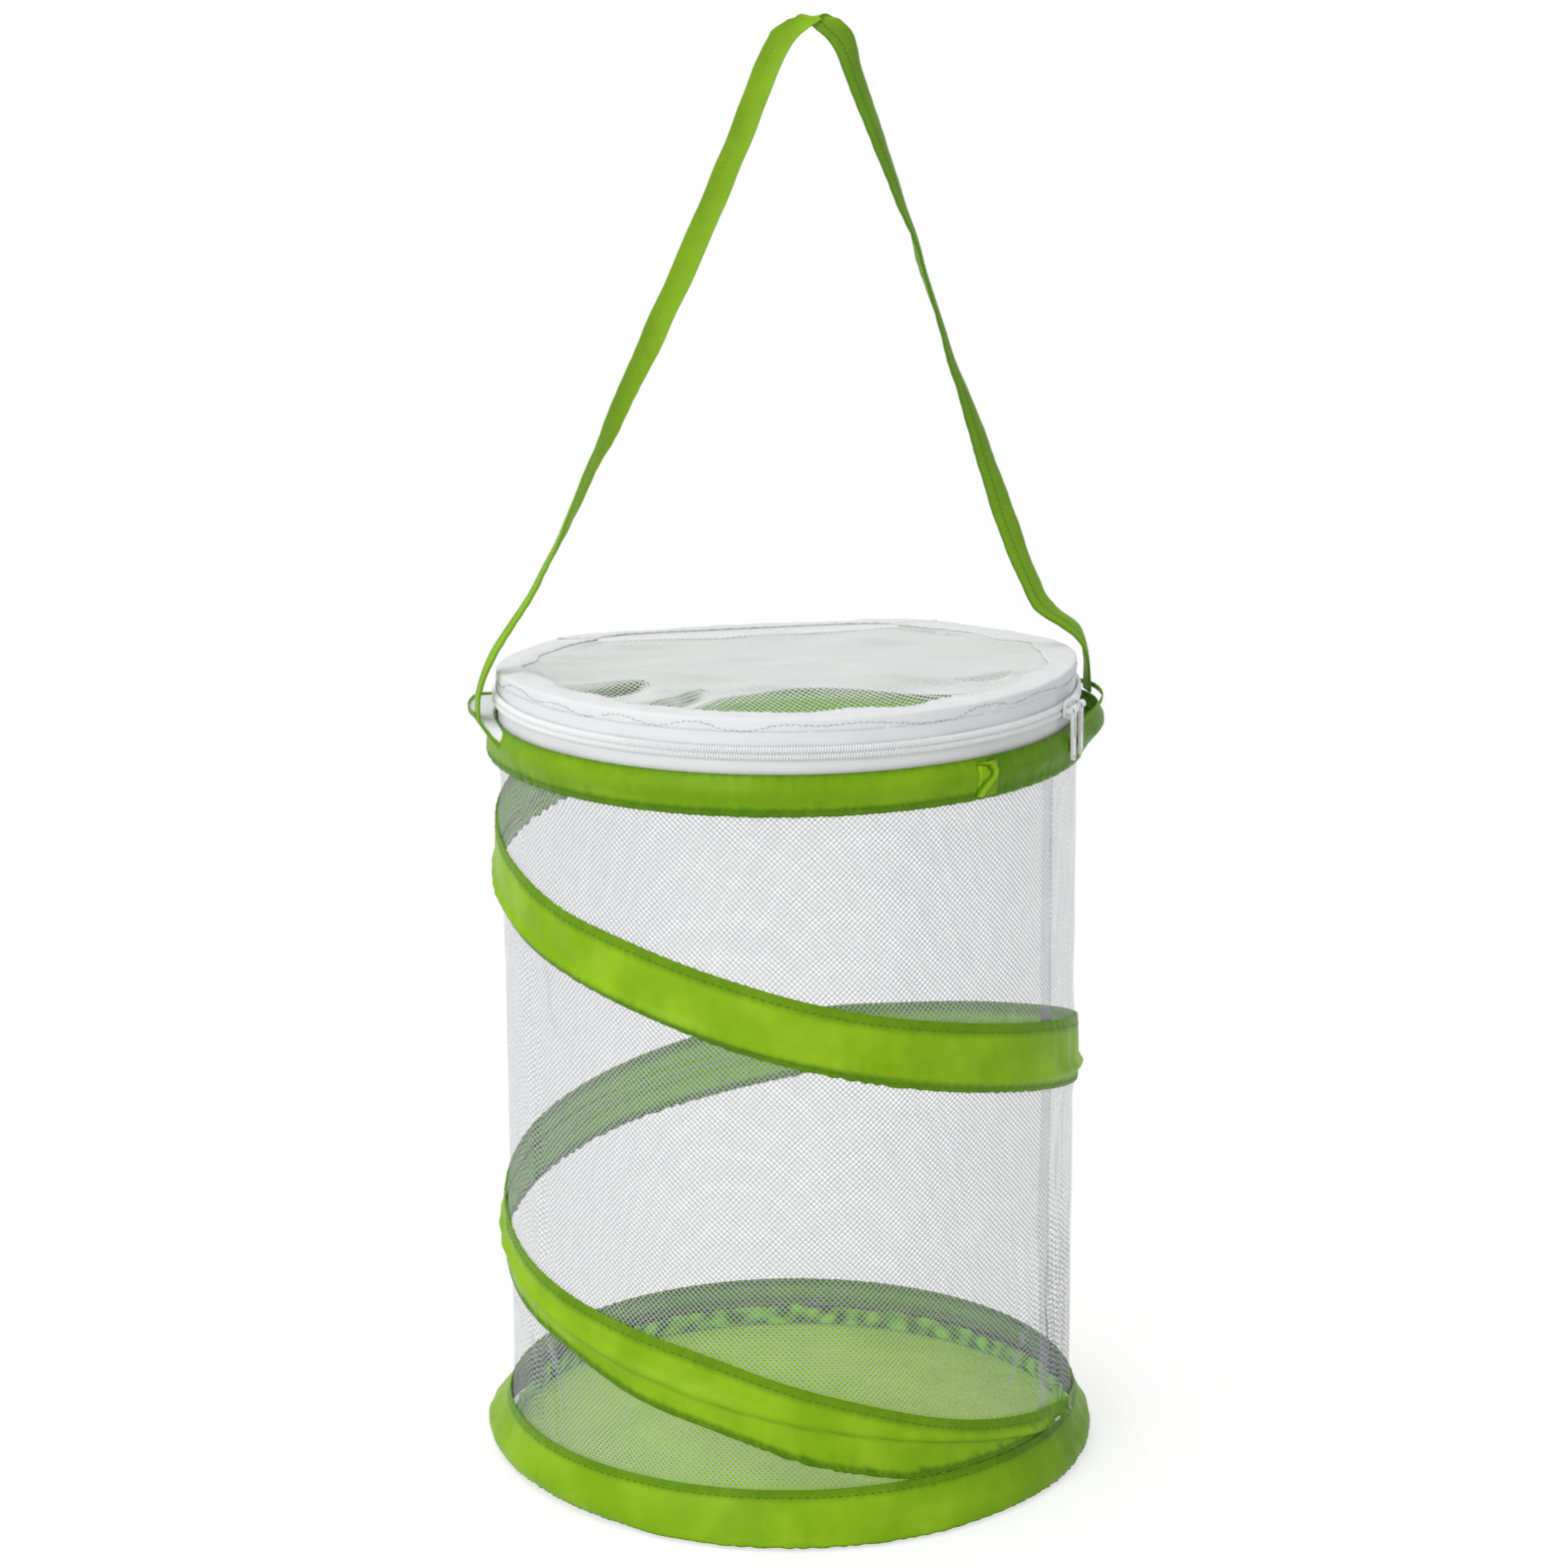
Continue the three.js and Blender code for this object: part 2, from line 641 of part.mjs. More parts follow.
// The net's openings, all inside the hem and in front of the fold
function lidOpenings() {
  const openings = [];
  const rows = Math.floor(hemInner / openingPitch);
  for (let row = -rows; row <= rows; row += 1) {
    for (let column = -rows; column <= rows; column += 1) {
      const [x, y] = [column * openingPitch, row * openingPitch];
      const corner = Math.hypot(Math.abs(x) + openingSide / 2, Math.abs(y) + openingSide / 2);
      if (corner < hemInner - hemWave && y + openingSide < lidEdge) {
        openings.push(boxBetween(
          x - openingSide / 2, x + openingSide / 2, y - openingSide / 2, y + openingSide / 2,
          lidTop - lidRise, lidTop + lidRise,
        ));
      }
    }
  }
  return openings;
}

function makeLidNet() {
  const cutters = lidOpenings().map(toSolid);
  return toGeometry(cutters.reduce((net, cutter) => net.subtract(cutter), toSolid(makeLidMesh())));
}

// Hem: a flat strip on the lid with a leg turned down inside the upper tape
function makeLidHem() {
  const layer = (lift) => facetAngles(...lidSpan).map((angle) => {
    const height = lidEdgeHeight(angle) + hemLift + lift;
    const inner = hemInner + hemWave * Math.sin(radians(hemWaveCount * angle));
    return [inner, legInner, tapeOuter].map((radius) => around(angle, radius, height));
  });
  return thickSheet(layer(clothThickness), layer(0));
}

function makeHemLeg() {
  const edgesAt = (angle) => {
    const top = lidEdgeHeight(angle) + hemLift - seatGap;
    return [Math.max(top, legFoot + clothThickness), legFoot];
  };
  return uprightBand(lidSpan, legOuter - clothThickness / 2, clothThickness, edgesAt);
}

// Handle: at each root the rim's edge is drawn out into an ear, and the strap is sewn inside it
function earRadius(offset) {
  const share = THREE.MathUtils.clamp(offset / earHalfAngle, -1, 1);
  return lipRadius + earBulge * Math.cos((share * Math.PI) / 2) ** 2;
}

function makeEar(rootAngle) {
  const steps = 10;
  const angles = [];
  for (let k = 0; k <= steps; k += 1) {
    angles.push(rootAngle + lerp(-earHalfAngle, earHalfAngle, k / steps));
  }
  const profileAt = (angle) => {
    const radius = earRadius(angle - rootAngle);
    return [[radius, strapFoot + earHeight], [radius, strapFoot]];
  };
  return clothBand(angles, clothThickness, profileAt);
}

const strapFoot = cageHeight + seatGap;
const rootHalfAngle = THREE.MathUtils.radToDeg(strapWidth / 2 / lipRadius);
const rootEdge = earRadius(rootHalfAngle) - clothThickness / 2 - seatGap;
const rootRadius = rootEdge * Math.cos(radians(rootHalfAngle)) - strapThickness / 2;

// Middle line of one leg from the root up
function legPath(shares, depth) {
  const points = shares.map(([across, up]) => {
    const y = depth * Math.min(1, 2 * up);
    return new THREE.Vector3(across * rootRadius, y, strapFoot + up * handleRise);
  });
  return new THREE.CatmullRomCurve3(points, false, 'catmullrom', 0.5);
}

// Turn of the strap's width from the handle's plane, in quarter turns
function leftTurn(up) {
  return 1 - smoothstep(up, ...leftTwistShares);
}

function rightTurn(up) {
  return 1 + smoothstep(up, ...rightLowTwistShares) - 2 * smoothstep(up, ...rightHighTwistShares);
}

function strapSection(middle, along, turn) {
  const angle = (turn * Math.PI) / 2;
  const lean = Math.max(Math.abs(along.z), Math.SQRT1_2);
  const width = new THREE.Vector3(Math.cos(angle) / lean, Math.sin(angle), 0);
  const face = along.clone().cross(width).normalize();
  const side = width.multiplyScalar(strapWidth / 2);
  const half = face.multiplyScalar(strapThickness / 2);
  return {
    front: [middle.clone().add(side).add(half), middle.clone().sub(side).add(half)],
    back: [middle.clone().add(side).sub(half), middle.clone().sub(side).sub(half)],
  };
}

function makeStrap() {
  const sections = [];
  const left = legPath(leftLegShares, -strapLie);
  const right = legPath(rightLegShares, strapLie);
  const leftSteps = 20;
  const rightSteps = 30;
  const foldSteps = 5;
  const upShare = (point) => (point.z - strapFoot) / handleRise;
  for (let k = 0; k <= leftSteps; k += 1) {
    const t = k / leftSteps;
    const middle = left.getPoint(t);
    sections.push(strapSection(middle, left.getTangent(t), leftTurn(upShare(middle))));
  }
  const top = left.getPoint(1);
  const lean = left.getTangent(1);
  for (let k = 1; k < foldSteps; k += 1) {
    const turn = (Math.PI * k) / foldSteps;
    const middle = new THREE.Vector3(top.x, -strapLie * Math.cos(turn), top.z + strapLie * Math.sin(turn));
    const level = lean.clone().multiplyScalar(Math.cos(turn));
    const along = new THREE.Vector3(level.x, Math.sin(turn), level.z).normalize();
    sections.push(foldSection(middle, along));
  }
  for (let k = rightSteps; k >= 0; k -= 1) {
    const t = k / rightSteps;
    const middle = right.getPoint(t);
    sections.push(strapSection(middle, right.getTangent(t).negate(), rightTurn(upShare(middle))));
  }
  return thickSheet(sections.map((section) => section.front), sections.map((section) => section.back));
}

// Over the top fold the width stays level
function foldSection(middle, along) {
  const face = new THREE.Vector3(0, along.z, -along.y).normalize();
  const side = new THREE.Vector3(strapWidth / 2, 0, 0);
  const half = face.multiplyScalar(strapThickness / 2);
  return {
    front: [middle.clone().add(side).add(half), middle.clone().sub(side).add(half)],
    back: [middle.clone().add(side).sub(half), middle.clone().sub(side).sub(half)],
  };
}

// An upright plate from an outline of [along, up] points, with its outer face at a radius
function uprightPlate(outline, thickness, outerFace) {
  const plate = new THREE.ExtrudeGeometry(outline, {
    depth: thickness,
    bevelEnabled: false,
    curveSegments: 5,
  });
  plate.rotateX(Math.PI / 2);
  plate.translate(0, outerFace, 0);
  return plate;
}

function boxBetween(x0, x1, y0, y1, z0, z1) {
  const box = new THREE.BoxGeometry(x1 - x0, y1 - y0, z1 - z0);
  box.translate((x0 + x1) / 2, (y0 + y1) / 2, (z0 + z1) / 2);
  return box;
}

// A slider straddles the chain: outer plate with a flange under the lower coil, a neck between
// the coils and a plate behind the tapes. headSide is the side on which the coils part.
function makeSlider(headSide) {
  const edge = (side) => sliderOutlineShares.map(
    ([x, z]) => new THREE.Vector2(headSide * x * sliderLength, 2 * side * z * sliderHalf),
  );
  const outline = new THREE.Shape([...edge(1), ...edge(-1).reverse()]);
  const bite = sliderPlate / 4;
  const inOrder = (a, b) => a - b;
  const flangeEnds = sliderFlangeShares.map((share) => headSide * share * sliderLength).sort(inOrder);
  const neckOuter = sliderNeckShare * sliderLength;
  const neckEnds = [headSide * neckOuter, headSide * (neckOuter - sliderNeckLength)].sort(inOrder);
  const pinEnd = knuckleLength / 2 + sliderClearance;
  const post = (side) => boxBetween(
    side > 0 ? pinEnd : -pinEnd - postLength, side > 0 ? pinEnd + postLength : -pinEnd,
    plateOuter - bite, pinLine + pinRadius, -postWidth / 2, postWidth / 2,
  );
  const pin = new THREE.CylinderGeometry(pinRadius, pinRadius, 2 * pinEnd + postLength, 8);
  pin.rotateZ(Math.PI / 2);
  pin.translate(0, pinLine, 0);
  return joined([
    uprightPlate(outline, sliderPlate, plateOuter),
    uprightPlate(outline, sliderPlate, backPlateOuter),
    boxBetween(...flangeEnds, coilInner, plateInner + bite, -sliderHalf, -sliderHalf + sliderFlange),
    boxBetween(...neckEnds, backPlateOuter - bite, plateInner + bite, -sliderNeck / 2, sliderNeck / 2),
    post(1),
    post(-1),
    pin,
  ]);
}

// A pull hangs from its slider's pin by a knuckle: a slim tab with a long slot and a small hole
function makePull() {
  const outline = new THREE.Shape();
  const tip = pullTipWidth / 2;
  outline.moveTo(-pullWidth / 2, -pinRadius - sliderClearance);
  outline.lineTo(-tip, tip - pullLength);
  outline.absarc(0, tip - pullLength, tip, Math.PI, 2 * Math.PI, false);
  outline.lineTo(pullWidth / 2, -pinRadius - sliderClearance);
  const slotTop = -knuckleRadius - knuckleWall - pullSlotWidth / 2;
  const slot = new THREE.Path();
  slot.absarc(0, slotTop, pullSlotWidth / 2, 0, Math.PI, false);
  slot.absarc(0, slotTop - pullSlotLength + pullSlotWidth, pullSlotWidth / 2, Math.PI, 2 * Math.PI, false);
  const hole = new THREE.Path();
  hole.absarc(0, tip - pullLength, pullHoleRadius, 0, 2 * Math.PI, false);
  outline.holes.push(slot, hole);
  const tab = uprightPlate(outline, pullThickness, pullThickness / 2);
  const ring = roundShape(knuckleRadius, 10);
  ring.holes.push(new THREE.Path(roundShape(pinRadius + sliderClearance, 10).getPoints()));
  const knuckle = new THREE.ExtrudeGeometry(ring, { depth: knuckleLength, bevelEnabled: false });
  knuckle.translate(0, 0, -knuckleLength / 2);
  knuckle.rotateY(Math.PI / 2);
  return joined([tab, knuckle]);
}

// The lapped, folded end of the rim sleeve's strip, lying on the sleeve
function makeTuck() {
  const half = THREE.MathUtils.radToDeg(tuckWidth / 2 / crownRadius);
  const lift = clothThickness + seatGap;
  const angles = [tuckAngle - half, tuckAngle, tuckAngle + half];
  const foldShare = tuckHeightShares[2];
  const profileAt = (angle) => {
    const rightShare = Math.max((angle - tuckAngle) / half, 0);
    return tuckHeightShares.map((share) => {
      const drawn = lerp(share, foldShare, rightShare * tuckDrawShare);
      return [crownRadius + lift, cageHeight - rimSleeveHeight * drawn];
    });
  };
  return clothBand(angles, clothThickness, profileAt);
}

addPiece('floor_panel', makeFloor(), floorCloth);
addPiece('floor_hem', clothBand(wholeTurn, clothThickness, () => [
  [wallInner - seatGap - clothThickness / 2, baseLip + floorHemHeight],
  [wallInner - seatGap - clothThickness / 2, baseLip],
], true), greenCloth);
addPiece('base_hoop', makeHoop(baseHoopRadius, baseHoopHeight), steel);
addPiece('base_sleeve', makeBaseSleeve(), greenCloth);
addPiece('wall_mesh', makeWall(), whiteMesh);
addPiece('wall_seam', makeWallSeam(), whiteMesh);
addPiece('spiral_sleeve', makeSpiralSleeve(), greenCloth);
addPiece('spiral_wire', makeSpiralWire(), steel);
addPiece('spiral_tip_top', makeTip(true), clearVinyl);
addPiece('spiral_tip_bottom', makeTip(false), clearVinyl);
console.log(`least gap between the spring's turns: ${leastTurnGap().toFixed(1)} mm`);

addPiece('rim_hoop', makeHoop(wireLine, rimHoopHeight), steel);
addPiece('rim_sleeve', makeRimSleeve(), greenCloth);
addPiece('rim_sleeve_tuck', makeTuck(), greenCloth);
addPiece('zip_tape_lower', makeLowerTape(), whiteTape);
addPiece('zip_coil_lower', makeCoil(-1), whitePlastic);
addPiece('zip_stop_right', makeStop(rightZipEnd - zipEndMargin / 2), whiteEnamel);
addPiece('zip_stop_left', makeStop(leftZipEnd + zipEndMargin / 2), whiteEnamel);
addPiece('rear_band', makeRearBand(), whiteTape);
addPiece('rear_panel', makeRearPanel(), whiteMesh);
addPiece('rear_hem', makeRearHem(), whiteTape);

addPiece('lid_mesh', makeLidNet(), whiteMesh);
addPiece('lid_hem', makeLidHem(), whiteTape);
addPiece('lid_hem_leg', makeHemLeg(), whiteTape);
addPiece('zip_tape_upper', makeUpperTape(), whiteTape);
addPiece('zip_coil_upper', makeCoil(1), whitePlastic);

addPiece('handle_strap', makeStrap(), strapCloth);
addPiece('strap_ear_right', makeEar(0), greenCloth);
addPiece('strap_ear_left', makeEar(180), greenCloth);

const sliderStep = THREE.MathUtils.radToDeg((sliderLength + sliderMeetGap) / 2 / plateOuter);
for (const [letter, side] of [['a', -1], ['b', 1]]) {
  const angle = sliderMeetAngle + side * sliderStep;
  const facing = radians(angle) - Math.PI / 2;
  const slider = addPiece(`slider_${letter}`, makeSlider(side), whiteEnamel);
  slider.position.z = zipLine;
  slider.rotation.z = facing;
  const pull = addPiece(`pull_${letter}`, makePull(), whiteEnamel);
  pull.position.copy(around(angle, pinLine, zipLine));
  pull.rotation.z = facing;
}

export default cage;
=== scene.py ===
# %% [markdown]
# # A collapsible insect cage
# A net wall is held open by a wire spring in a green sleeve, between two hooped ends. The lid is
# net too and closes with a zip, and a webbing strap carries the cage. This lesson dresses a packed
# CAD model with cloth, net, stitches and light. Lengths are written in millimetres, because that
# is how such a cage is measured, and turned into metres where a mesh is placed.

# %% Load the frame
import math
import random

import bmesh
import bpy
import numpy as np
from mathutils import Matrix, Vector


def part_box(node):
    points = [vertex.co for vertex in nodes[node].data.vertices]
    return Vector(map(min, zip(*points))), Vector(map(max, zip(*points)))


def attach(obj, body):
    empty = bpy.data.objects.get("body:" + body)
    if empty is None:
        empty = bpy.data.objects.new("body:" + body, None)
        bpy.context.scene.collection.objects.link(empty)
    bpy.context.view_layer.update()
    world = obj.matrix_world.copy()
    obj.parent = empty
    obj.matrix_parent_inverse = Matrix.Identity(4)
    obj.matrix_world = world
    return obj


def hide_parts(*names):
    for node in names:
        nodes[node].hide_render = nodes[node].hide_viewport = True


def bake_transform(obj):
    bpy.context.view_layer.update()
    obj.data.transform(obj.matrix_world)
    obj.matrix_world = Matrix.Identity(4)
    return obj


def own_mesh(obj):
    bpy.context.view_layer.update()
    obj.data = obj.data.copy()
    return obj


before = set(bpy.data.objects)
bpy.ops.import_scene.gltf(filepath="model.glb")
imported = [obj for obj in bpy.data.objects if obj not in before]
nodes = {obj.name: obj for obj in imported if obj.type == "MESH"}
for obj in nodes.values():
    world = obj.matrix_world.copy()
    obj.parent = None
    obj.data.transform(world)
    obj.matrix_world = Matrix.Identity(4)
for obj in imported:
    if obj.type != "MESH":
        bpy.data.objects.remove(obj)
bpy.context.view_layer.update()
MM = 0.001

# %% [markdown]
# ## Camera
# The camera comes first, because every later choice is judged through it. It stands about a metre
# and a half away and looks down a little, so the top ring shows as a narrow ellipse and the floor
# as a wider one. A long lens keeps the two sides of the wall nearly upright.

# %% Camera
CAMERA_TURN = 11.0
CAMERA_AWAY = 1490.0
CAMERA_HEIGHT = 618.0
CAMERA_PITCH = 13.85
CAMERA_ROLL = 0.46
CAMERA_AIM = 0.045
PICTURE_SIDE = 1569
FOCAL_PIXELS = 4209
SENSOR = 36.0

camera_data = bpy.data.cameras.new("photo_camera")
camera_data.sensor_width = SENSOR
camera_data.lens = SENSOR * FOCAL_PIXELS / PICTURE_SIDE
camera_data.clip_start = 0.05
camera_data.clip_end = 60
camera = bpy.data.objects.new("photo_camera", camera_data)
bpy.context.scene.collection.objects.link(camera)
turn = math.radians(CAMERA_TURN)
camera.location = Vector((-math.sin(turn), -math.cos(turn), 0)) * CAMERA_AWAY * MM
camera.location.z = CAMERA_HEIGHT * MM
heading = Matrix.Rotation(-turn + math.radians(CAMERA_AIM), 3, "Z")
pitch = Matrix.Rotation(math.radians(90 - CAMERA_PITCH), 3, "X")
roll = Matrix.Rotation(-math.radians(CAMERA_ROLL), 3, "Z")
camera.rotation_euler = (heading @ pitch @ roll).to_euler()
bpy.context.scene.camera = camera
bpy.context.scene.view_settings.view_transform = "Standard"
print("lens", round(camera_data.lens, 1), "mm at", [round(c, 3) for c in camera.location])

# %% [markdown]
# ## Light and floor
# Soft light comes from a large lamp at the front left, from another overhead and from the pale
# surroundings, so the greens are bright at the left and deeper at the right. The background is white only for rays that the eye or
# a reflection sees. All other rays meet a plain grey level, which keeps white cloth below white.

# %% Surroundings
WORLD_LEVEL = 0.56
KEY_WATTS = 19.0
TOP_WATTS = 13.0
FLOOR_SIDE = 40.0
FLOOR_GLOW = 0.62
FLOOR_GLOW_FAR = 0.735
FLOOR_NEAR, FLOOR_FAR = 1.2, 3.4
FLOOR_SHARE = 0.5


def wire(tree, kind, settings, inputs):
    """Add a node, set its options, and give each numbered input a value or another node's socket."""
    made = tree.nodes.new(kind)
    for name, value in settings.items():
        setattr(made, name, value)
    for slot_number, value in inputs.items():
        socket = made.inputs[slot_number]
        if isinstance(value, bpy.types.NodeSocket):
            tree.links.new(value, socket)
        else:
            socket.default_value = value
    return made


def maths(tree, operation, *values):
    """One Math node; returns its output socket."""
    return wire(tree, "ShaderNodeMath", {"operation": operation}, dict(enumerate(values))).outputs[0]


def seen_directly(tree):
    """1 for rays from the eye and for those that a reflection or a clear piece sends on."""
    path = tree.nodes.new("ShaderNodeLightPath").outputs
    seen = maths(tree, "MAXIMUM", path["Is Camera Ray"], path["Is Glossy Ray"])
    return maths(tree, "MAXIMUM", seen, path["Is Transmission Ray"])


world = bpy.data.worlds.new("studio")
world.use_nodes = True
bpy.context.scene.world = world
tree = world.node_tree
tree.nodes.clear()
strength = wire(tree, "ShaderNodeMapRange", {}, {0: seen_directly(tree), 3: WORLD_LEVEL, 4: 1.0})
sky = wire(tree, "ShaderNodeBackground", {}, {0: (1, 1, 1, 1), 1: strength.outputs[0]})
wire(tree, "ShaderNodeOutputWorld", {}, {0: sky.outputs[0]})

LAMPS = {
    "key_lamp": ((-1.5, -1.55, 1.25), KEY_WATTS, 1.1),
    "top_lamp": ((-0.5, 0.1, 2.35), TOP_WATTS, 1.3),
}
for name, (place, watts, side) in LAMPS.items():
    lamp_data = bpy.data.lights.new(name, "AREA")
    lamp_data.size = side
    lamp_data.energy = watts
    lamp = bpy.data.objects.new(name, lamp_data)
    bpy.context.scene.collection.objects.link(lamp)
    lamp.location = place
    lamp.rotation_euler = (Vector((0, 0, 0.16)) - lamp.location).to_track_quat("-Z", "Y").to_euler()

# %% Floor
floor_paint = bpy.data.materials.new("pale_floor")
floor_paint.use_nodes = True
tree = floor_paint.node_tree
tree.nodes.clear()
matt = wire(tree, "ShaderNodeBsdfDiffuse", {}, {0: (0.85, 0.85, 0.85, 1)})
seen_matt = wire(tree, "ShaderNodeBsdfDiffuse", {}, {0: (FLOOR_SHARE,) * 3 + (1,)})
place = tree.nodes.new("ShaderNodeTexCoord").outputs["Object"]
away = wire(tree, "ShaderNodeVectorMath", {"operation": "LENGTH"}, {0: place}).outputs["Value"]
evened = wire(tree, "ShaderNodeMapRange", {}, {0: away, 1: FLOOR_NEAR, 2: FLOOR_FAR, 3: FLOOR_GLOW, 4: FLOOR_GLOW_FAR})
glow = wire(tree, "ShaderNodeEmission", {}, {0: (1, 1, 1, 1), 1: evened.outputs[0]})
both = wire(tree, "ShaderNodeAddShader", {}, {0: seen_matt.outputs[0], 1: glow.outputs[0]})
mixed = wire(tree, "ShaderNodeMixShader", {}, {0: seen_directly(tree), 1: matt.outputs[0], 2: both.outputs[0]})
wire(tree, "ShaderNodeOutputMaterial", {}, {0: mixed.outputs[0]})

bm = bmesh.new()
bmesh.ops.create_grid(bm, x_segments=2, y_segments=2, size=FLOOR_SIDE / 2)
floor_mesh = bpy.data.meshes.new("studio_floor")
bm.to_mesh(floor_mesh)
bm.free()
floor_mesh.materials.append(floor_paint)
studio_floor = bpy.data.objects.new("studio_floor", floor_mesh)
bpy.context.scene.collection.objects.link(studio_floor)

# %% [markdown]
# ## Finishes
# Every cloth here has a map that follows it: one unit along the map is one metre of cloth. So a
# weave, a net or a row of stitches keeps its size however the cloth is bent. A second value on
# each point is 1 where the cloth lies double in a hem, and there its colour is deeper because less
# light comes through. In some places that value also carries painted shade: on the right side of
# the two hooped ends, in the rim's tuck, under the spiral's wire ridge, in the floor's hem and on
# the strap's right leg.

# %% Helpers for finishes
LAY = "lay"
# This value deepens the colour in doubled hems and also holds painted shade in a few places.
DOUBLED_OR_SHADED = "doubled_or_shaded"


def finish(name, colour, roughness, **sockets):
    """A material with one Principled shader; values given by name go straight on its sockets."""
    material = bpy.data.materials.new(name)
    material.use_nodes = True
    material.node_tree.nodes.clear()
    shader = material.node_tree.nodes.new("ShaderNodeBsdfPrincipled")
    output = material.node_tree.nodes.new("ShaderNodeOutputMaterial")
    material.node_tree.links.new(shader.outputs[0], output.inputs[0])
    shader.inputs["Base Color"].default_value = (*colour, 1)
    shader.inputs["Roughness"].default_value = roughness
    for socket, value in sockets.items():
        shader.inputs[socket.replace("_", " ")].default_value = value
    return material, material.node_tree, shader


def lay_of(tree):
    return wire(tree, "ShaderNodeUVMap", {"uv_map": LAY}, {}).outputs[0]


def place_of(tree):
    return tree.nodes.new("ShaderNodeTexCoord").outputs["Object"]


def blotches(tree, at, size, detail=3.0):
    """Soft noise with blotches of about that many millimetres."""
    made = wire(tree, "ShaderNodeTexNoise", {}, {0: at, 2: 1 / (size * MM), 3: detail})
    return made.outputs[0]


def between(tree, factor, first, last):
    """A colour between two, each three numbers or another node's socket, by a factor from 0 to 1."""
    pair = [c if isinstance(c, bpy.types.NodeSocket) else (*c, 1) for c in (first, last)]
    made = wire(tree, "ShaderNodeMix", {"data_type": "RGBA"}, {0: factor, 6: pair[0], 7: pair[1]})
    return made.outputs[2]


def varied(tree, shader, colour, darker, size):
    """Let the shader's colour vary between a colour and a darker share of it, in soft blotches."""
    spots = blotches(tree, place_of(tree), size)
    dark = tuple(c * darker for c in colour)
    tree.links.new(between(tree, spots, dark, colour), shader.inputs["Base Color"])
    return spots


def ramp(tree, value, low, high, start=0.0, end=1.0):
    """start below low and end above high, with a smooth step in between."""
    return wire(
        tree, "ShaderNodeMapRange", {"interpolation_type": "SMOOTHSTEP"},
        {0: value, 1: low, 2: high, 3: start, 4: end},
    ).outputs[0]


def woven(tree, at, pitch):
    """Height of a plain weave: crossing ribs of that many millimetres."""
    apart = wire(tree, "ShaderNodeSeparateXYZ", {}, {0: at}).outputs
    waves = [maths(tree, "SINE", maths(tree, "MULTIPLY", apart[k], 2 * math.pi / (pitch * MM))) for k in (0, 1)]
    return maths(tree, "MULTIPLY", *waves)


def bumped(tree, shader, heights):
    """Bump from (height socket, strength, depth in millimetres), one after another."""
    normal = {}
    for height, strength, depth in heights:
        inputs = {"Strength": strength, "Distance": depth * MM, "Height": height, **normal}
        normal = {"Normal": wire(tree, "ShaderNodeBump", {}, inputs).outputs[0]}
    tree.links.new(normal["Normal"], shader.inputs["Normal"])


# %% [markdown]
# ### Green nylon
# The sleeves are thin satin nylon: smooth, a little glossy, with crinkles of a few millimetres and
# a weave too fine to count. Hems are deeper in colour. Two greens, mixed by a soft noise and by
# the second value on each point, give that without a picture. The side that faces into the cage
# is painted a lighter green, as painted light for the daylight that comes through the thin cloth.

# %% Green nylon
GREEN = (0.235, 0.455, 0.007)
GREEN_LIGHT = (0.31, 0.55, 0.014)
GREEN_DEEP = (0.082, 0.215, 0.004)
# Painted light: faces that look into the cage get this lighter green, for daylight through the cloth.
GREEN_PAINTED_LIGHT_INSIDE = (0.34, 0.78, 0.012)


def facing_in(tree):
    """1 where a face looks towards the cage's axis, else 0."""
    level = wire(tree, "ShaderNodeVectorMath", {"operation": "MULTIPLY"}, {0: place_of(tree), 1: (1, 1, 0)})
    outwards = wire(tree, "ShaderNodeVectorMath", {"operation": "NORMALIZE"}, {0: level.outputs[0]}).outputs[0]
    normal = tree.nodes.new("ShaderNodeTexCoord").outputs["Normal"]
    along = wire(tree, "ShaderNodeVectorMath", {"operation": "DOT_PRODUCT"}, {0: outwards, 1: normal}).outputs["Value"]
    return ramp(tree, along, -0.3, -0.05, 1.0, 0.0)


def green_nylon(name, light, plain, deep, roughness=0.42):
    material, tree, shader = finish(
        name, plain, roughness, Specular_IOR_Level=0.1,
    )
    at = place_of(tree)
    soft = ramp(tree, blotches(tree, at, 22), 0.35, 0.68)
    doubled_or_shaded = wire(tree, "ShaderNodeAttribute", {"attribute_name": DOUBLED_OR_SHADED}, {}).outputs["Fac"]
    # The deep green follows doubled hems, and painted shade where the second value carries it.
    patchy = maths(tree, "MULTIPLY", doubled_or_shaded, ramp(tree, blotches(tree, at, 5), 0.25, 0.7, 0.82, 1.0))
    # Painted light: faces that look into the cage take the lighter inside green.
    face = between(tree, facing_in(tree), between(tree, soft, plain, light), GREEN_PAINTED_LIGHT_INSIDE)
    tree.links.new(between(tree, patchy, face, deep), shader.inputs["Base Color"])
    crinkle = blotches(tree, at, 6, 4.0)
    bumped(tree, shader, [(crinkle, 0.24, 0.6), (woven(tree, lay_of(tree), 0.34), 0.12, 0.03)])
    return material


sleeve_nylon = green_nylon("sleeve_nylon", GREEN_LIGHT, GREEN, GREEN_DEEP)
floor_nylon = green_nylon("floor_nylon", (0.45, 0.76, 0.025), (0.385, 0.68, 0.015), (0.07, 0.18, 0.008), 0.6)

# %% [markdown]
# ### Thread
# Stitches are twisted polyester. At this size a slightly lighter or darker green with a soft gloss
# is enough, with a fine ripple for the twist.

# %% Threads


def thread(name, colour):
    material, tree, shader = finish(name, colour, 0.5, Specular_IOR_Level=0.2)
    varied(tree, shader, colour, 0.82, 1.2)
    bumped(tree, shader, [(blotches(tree, place_of(tree), 0.4), 0.3, 0.1)])
    return material


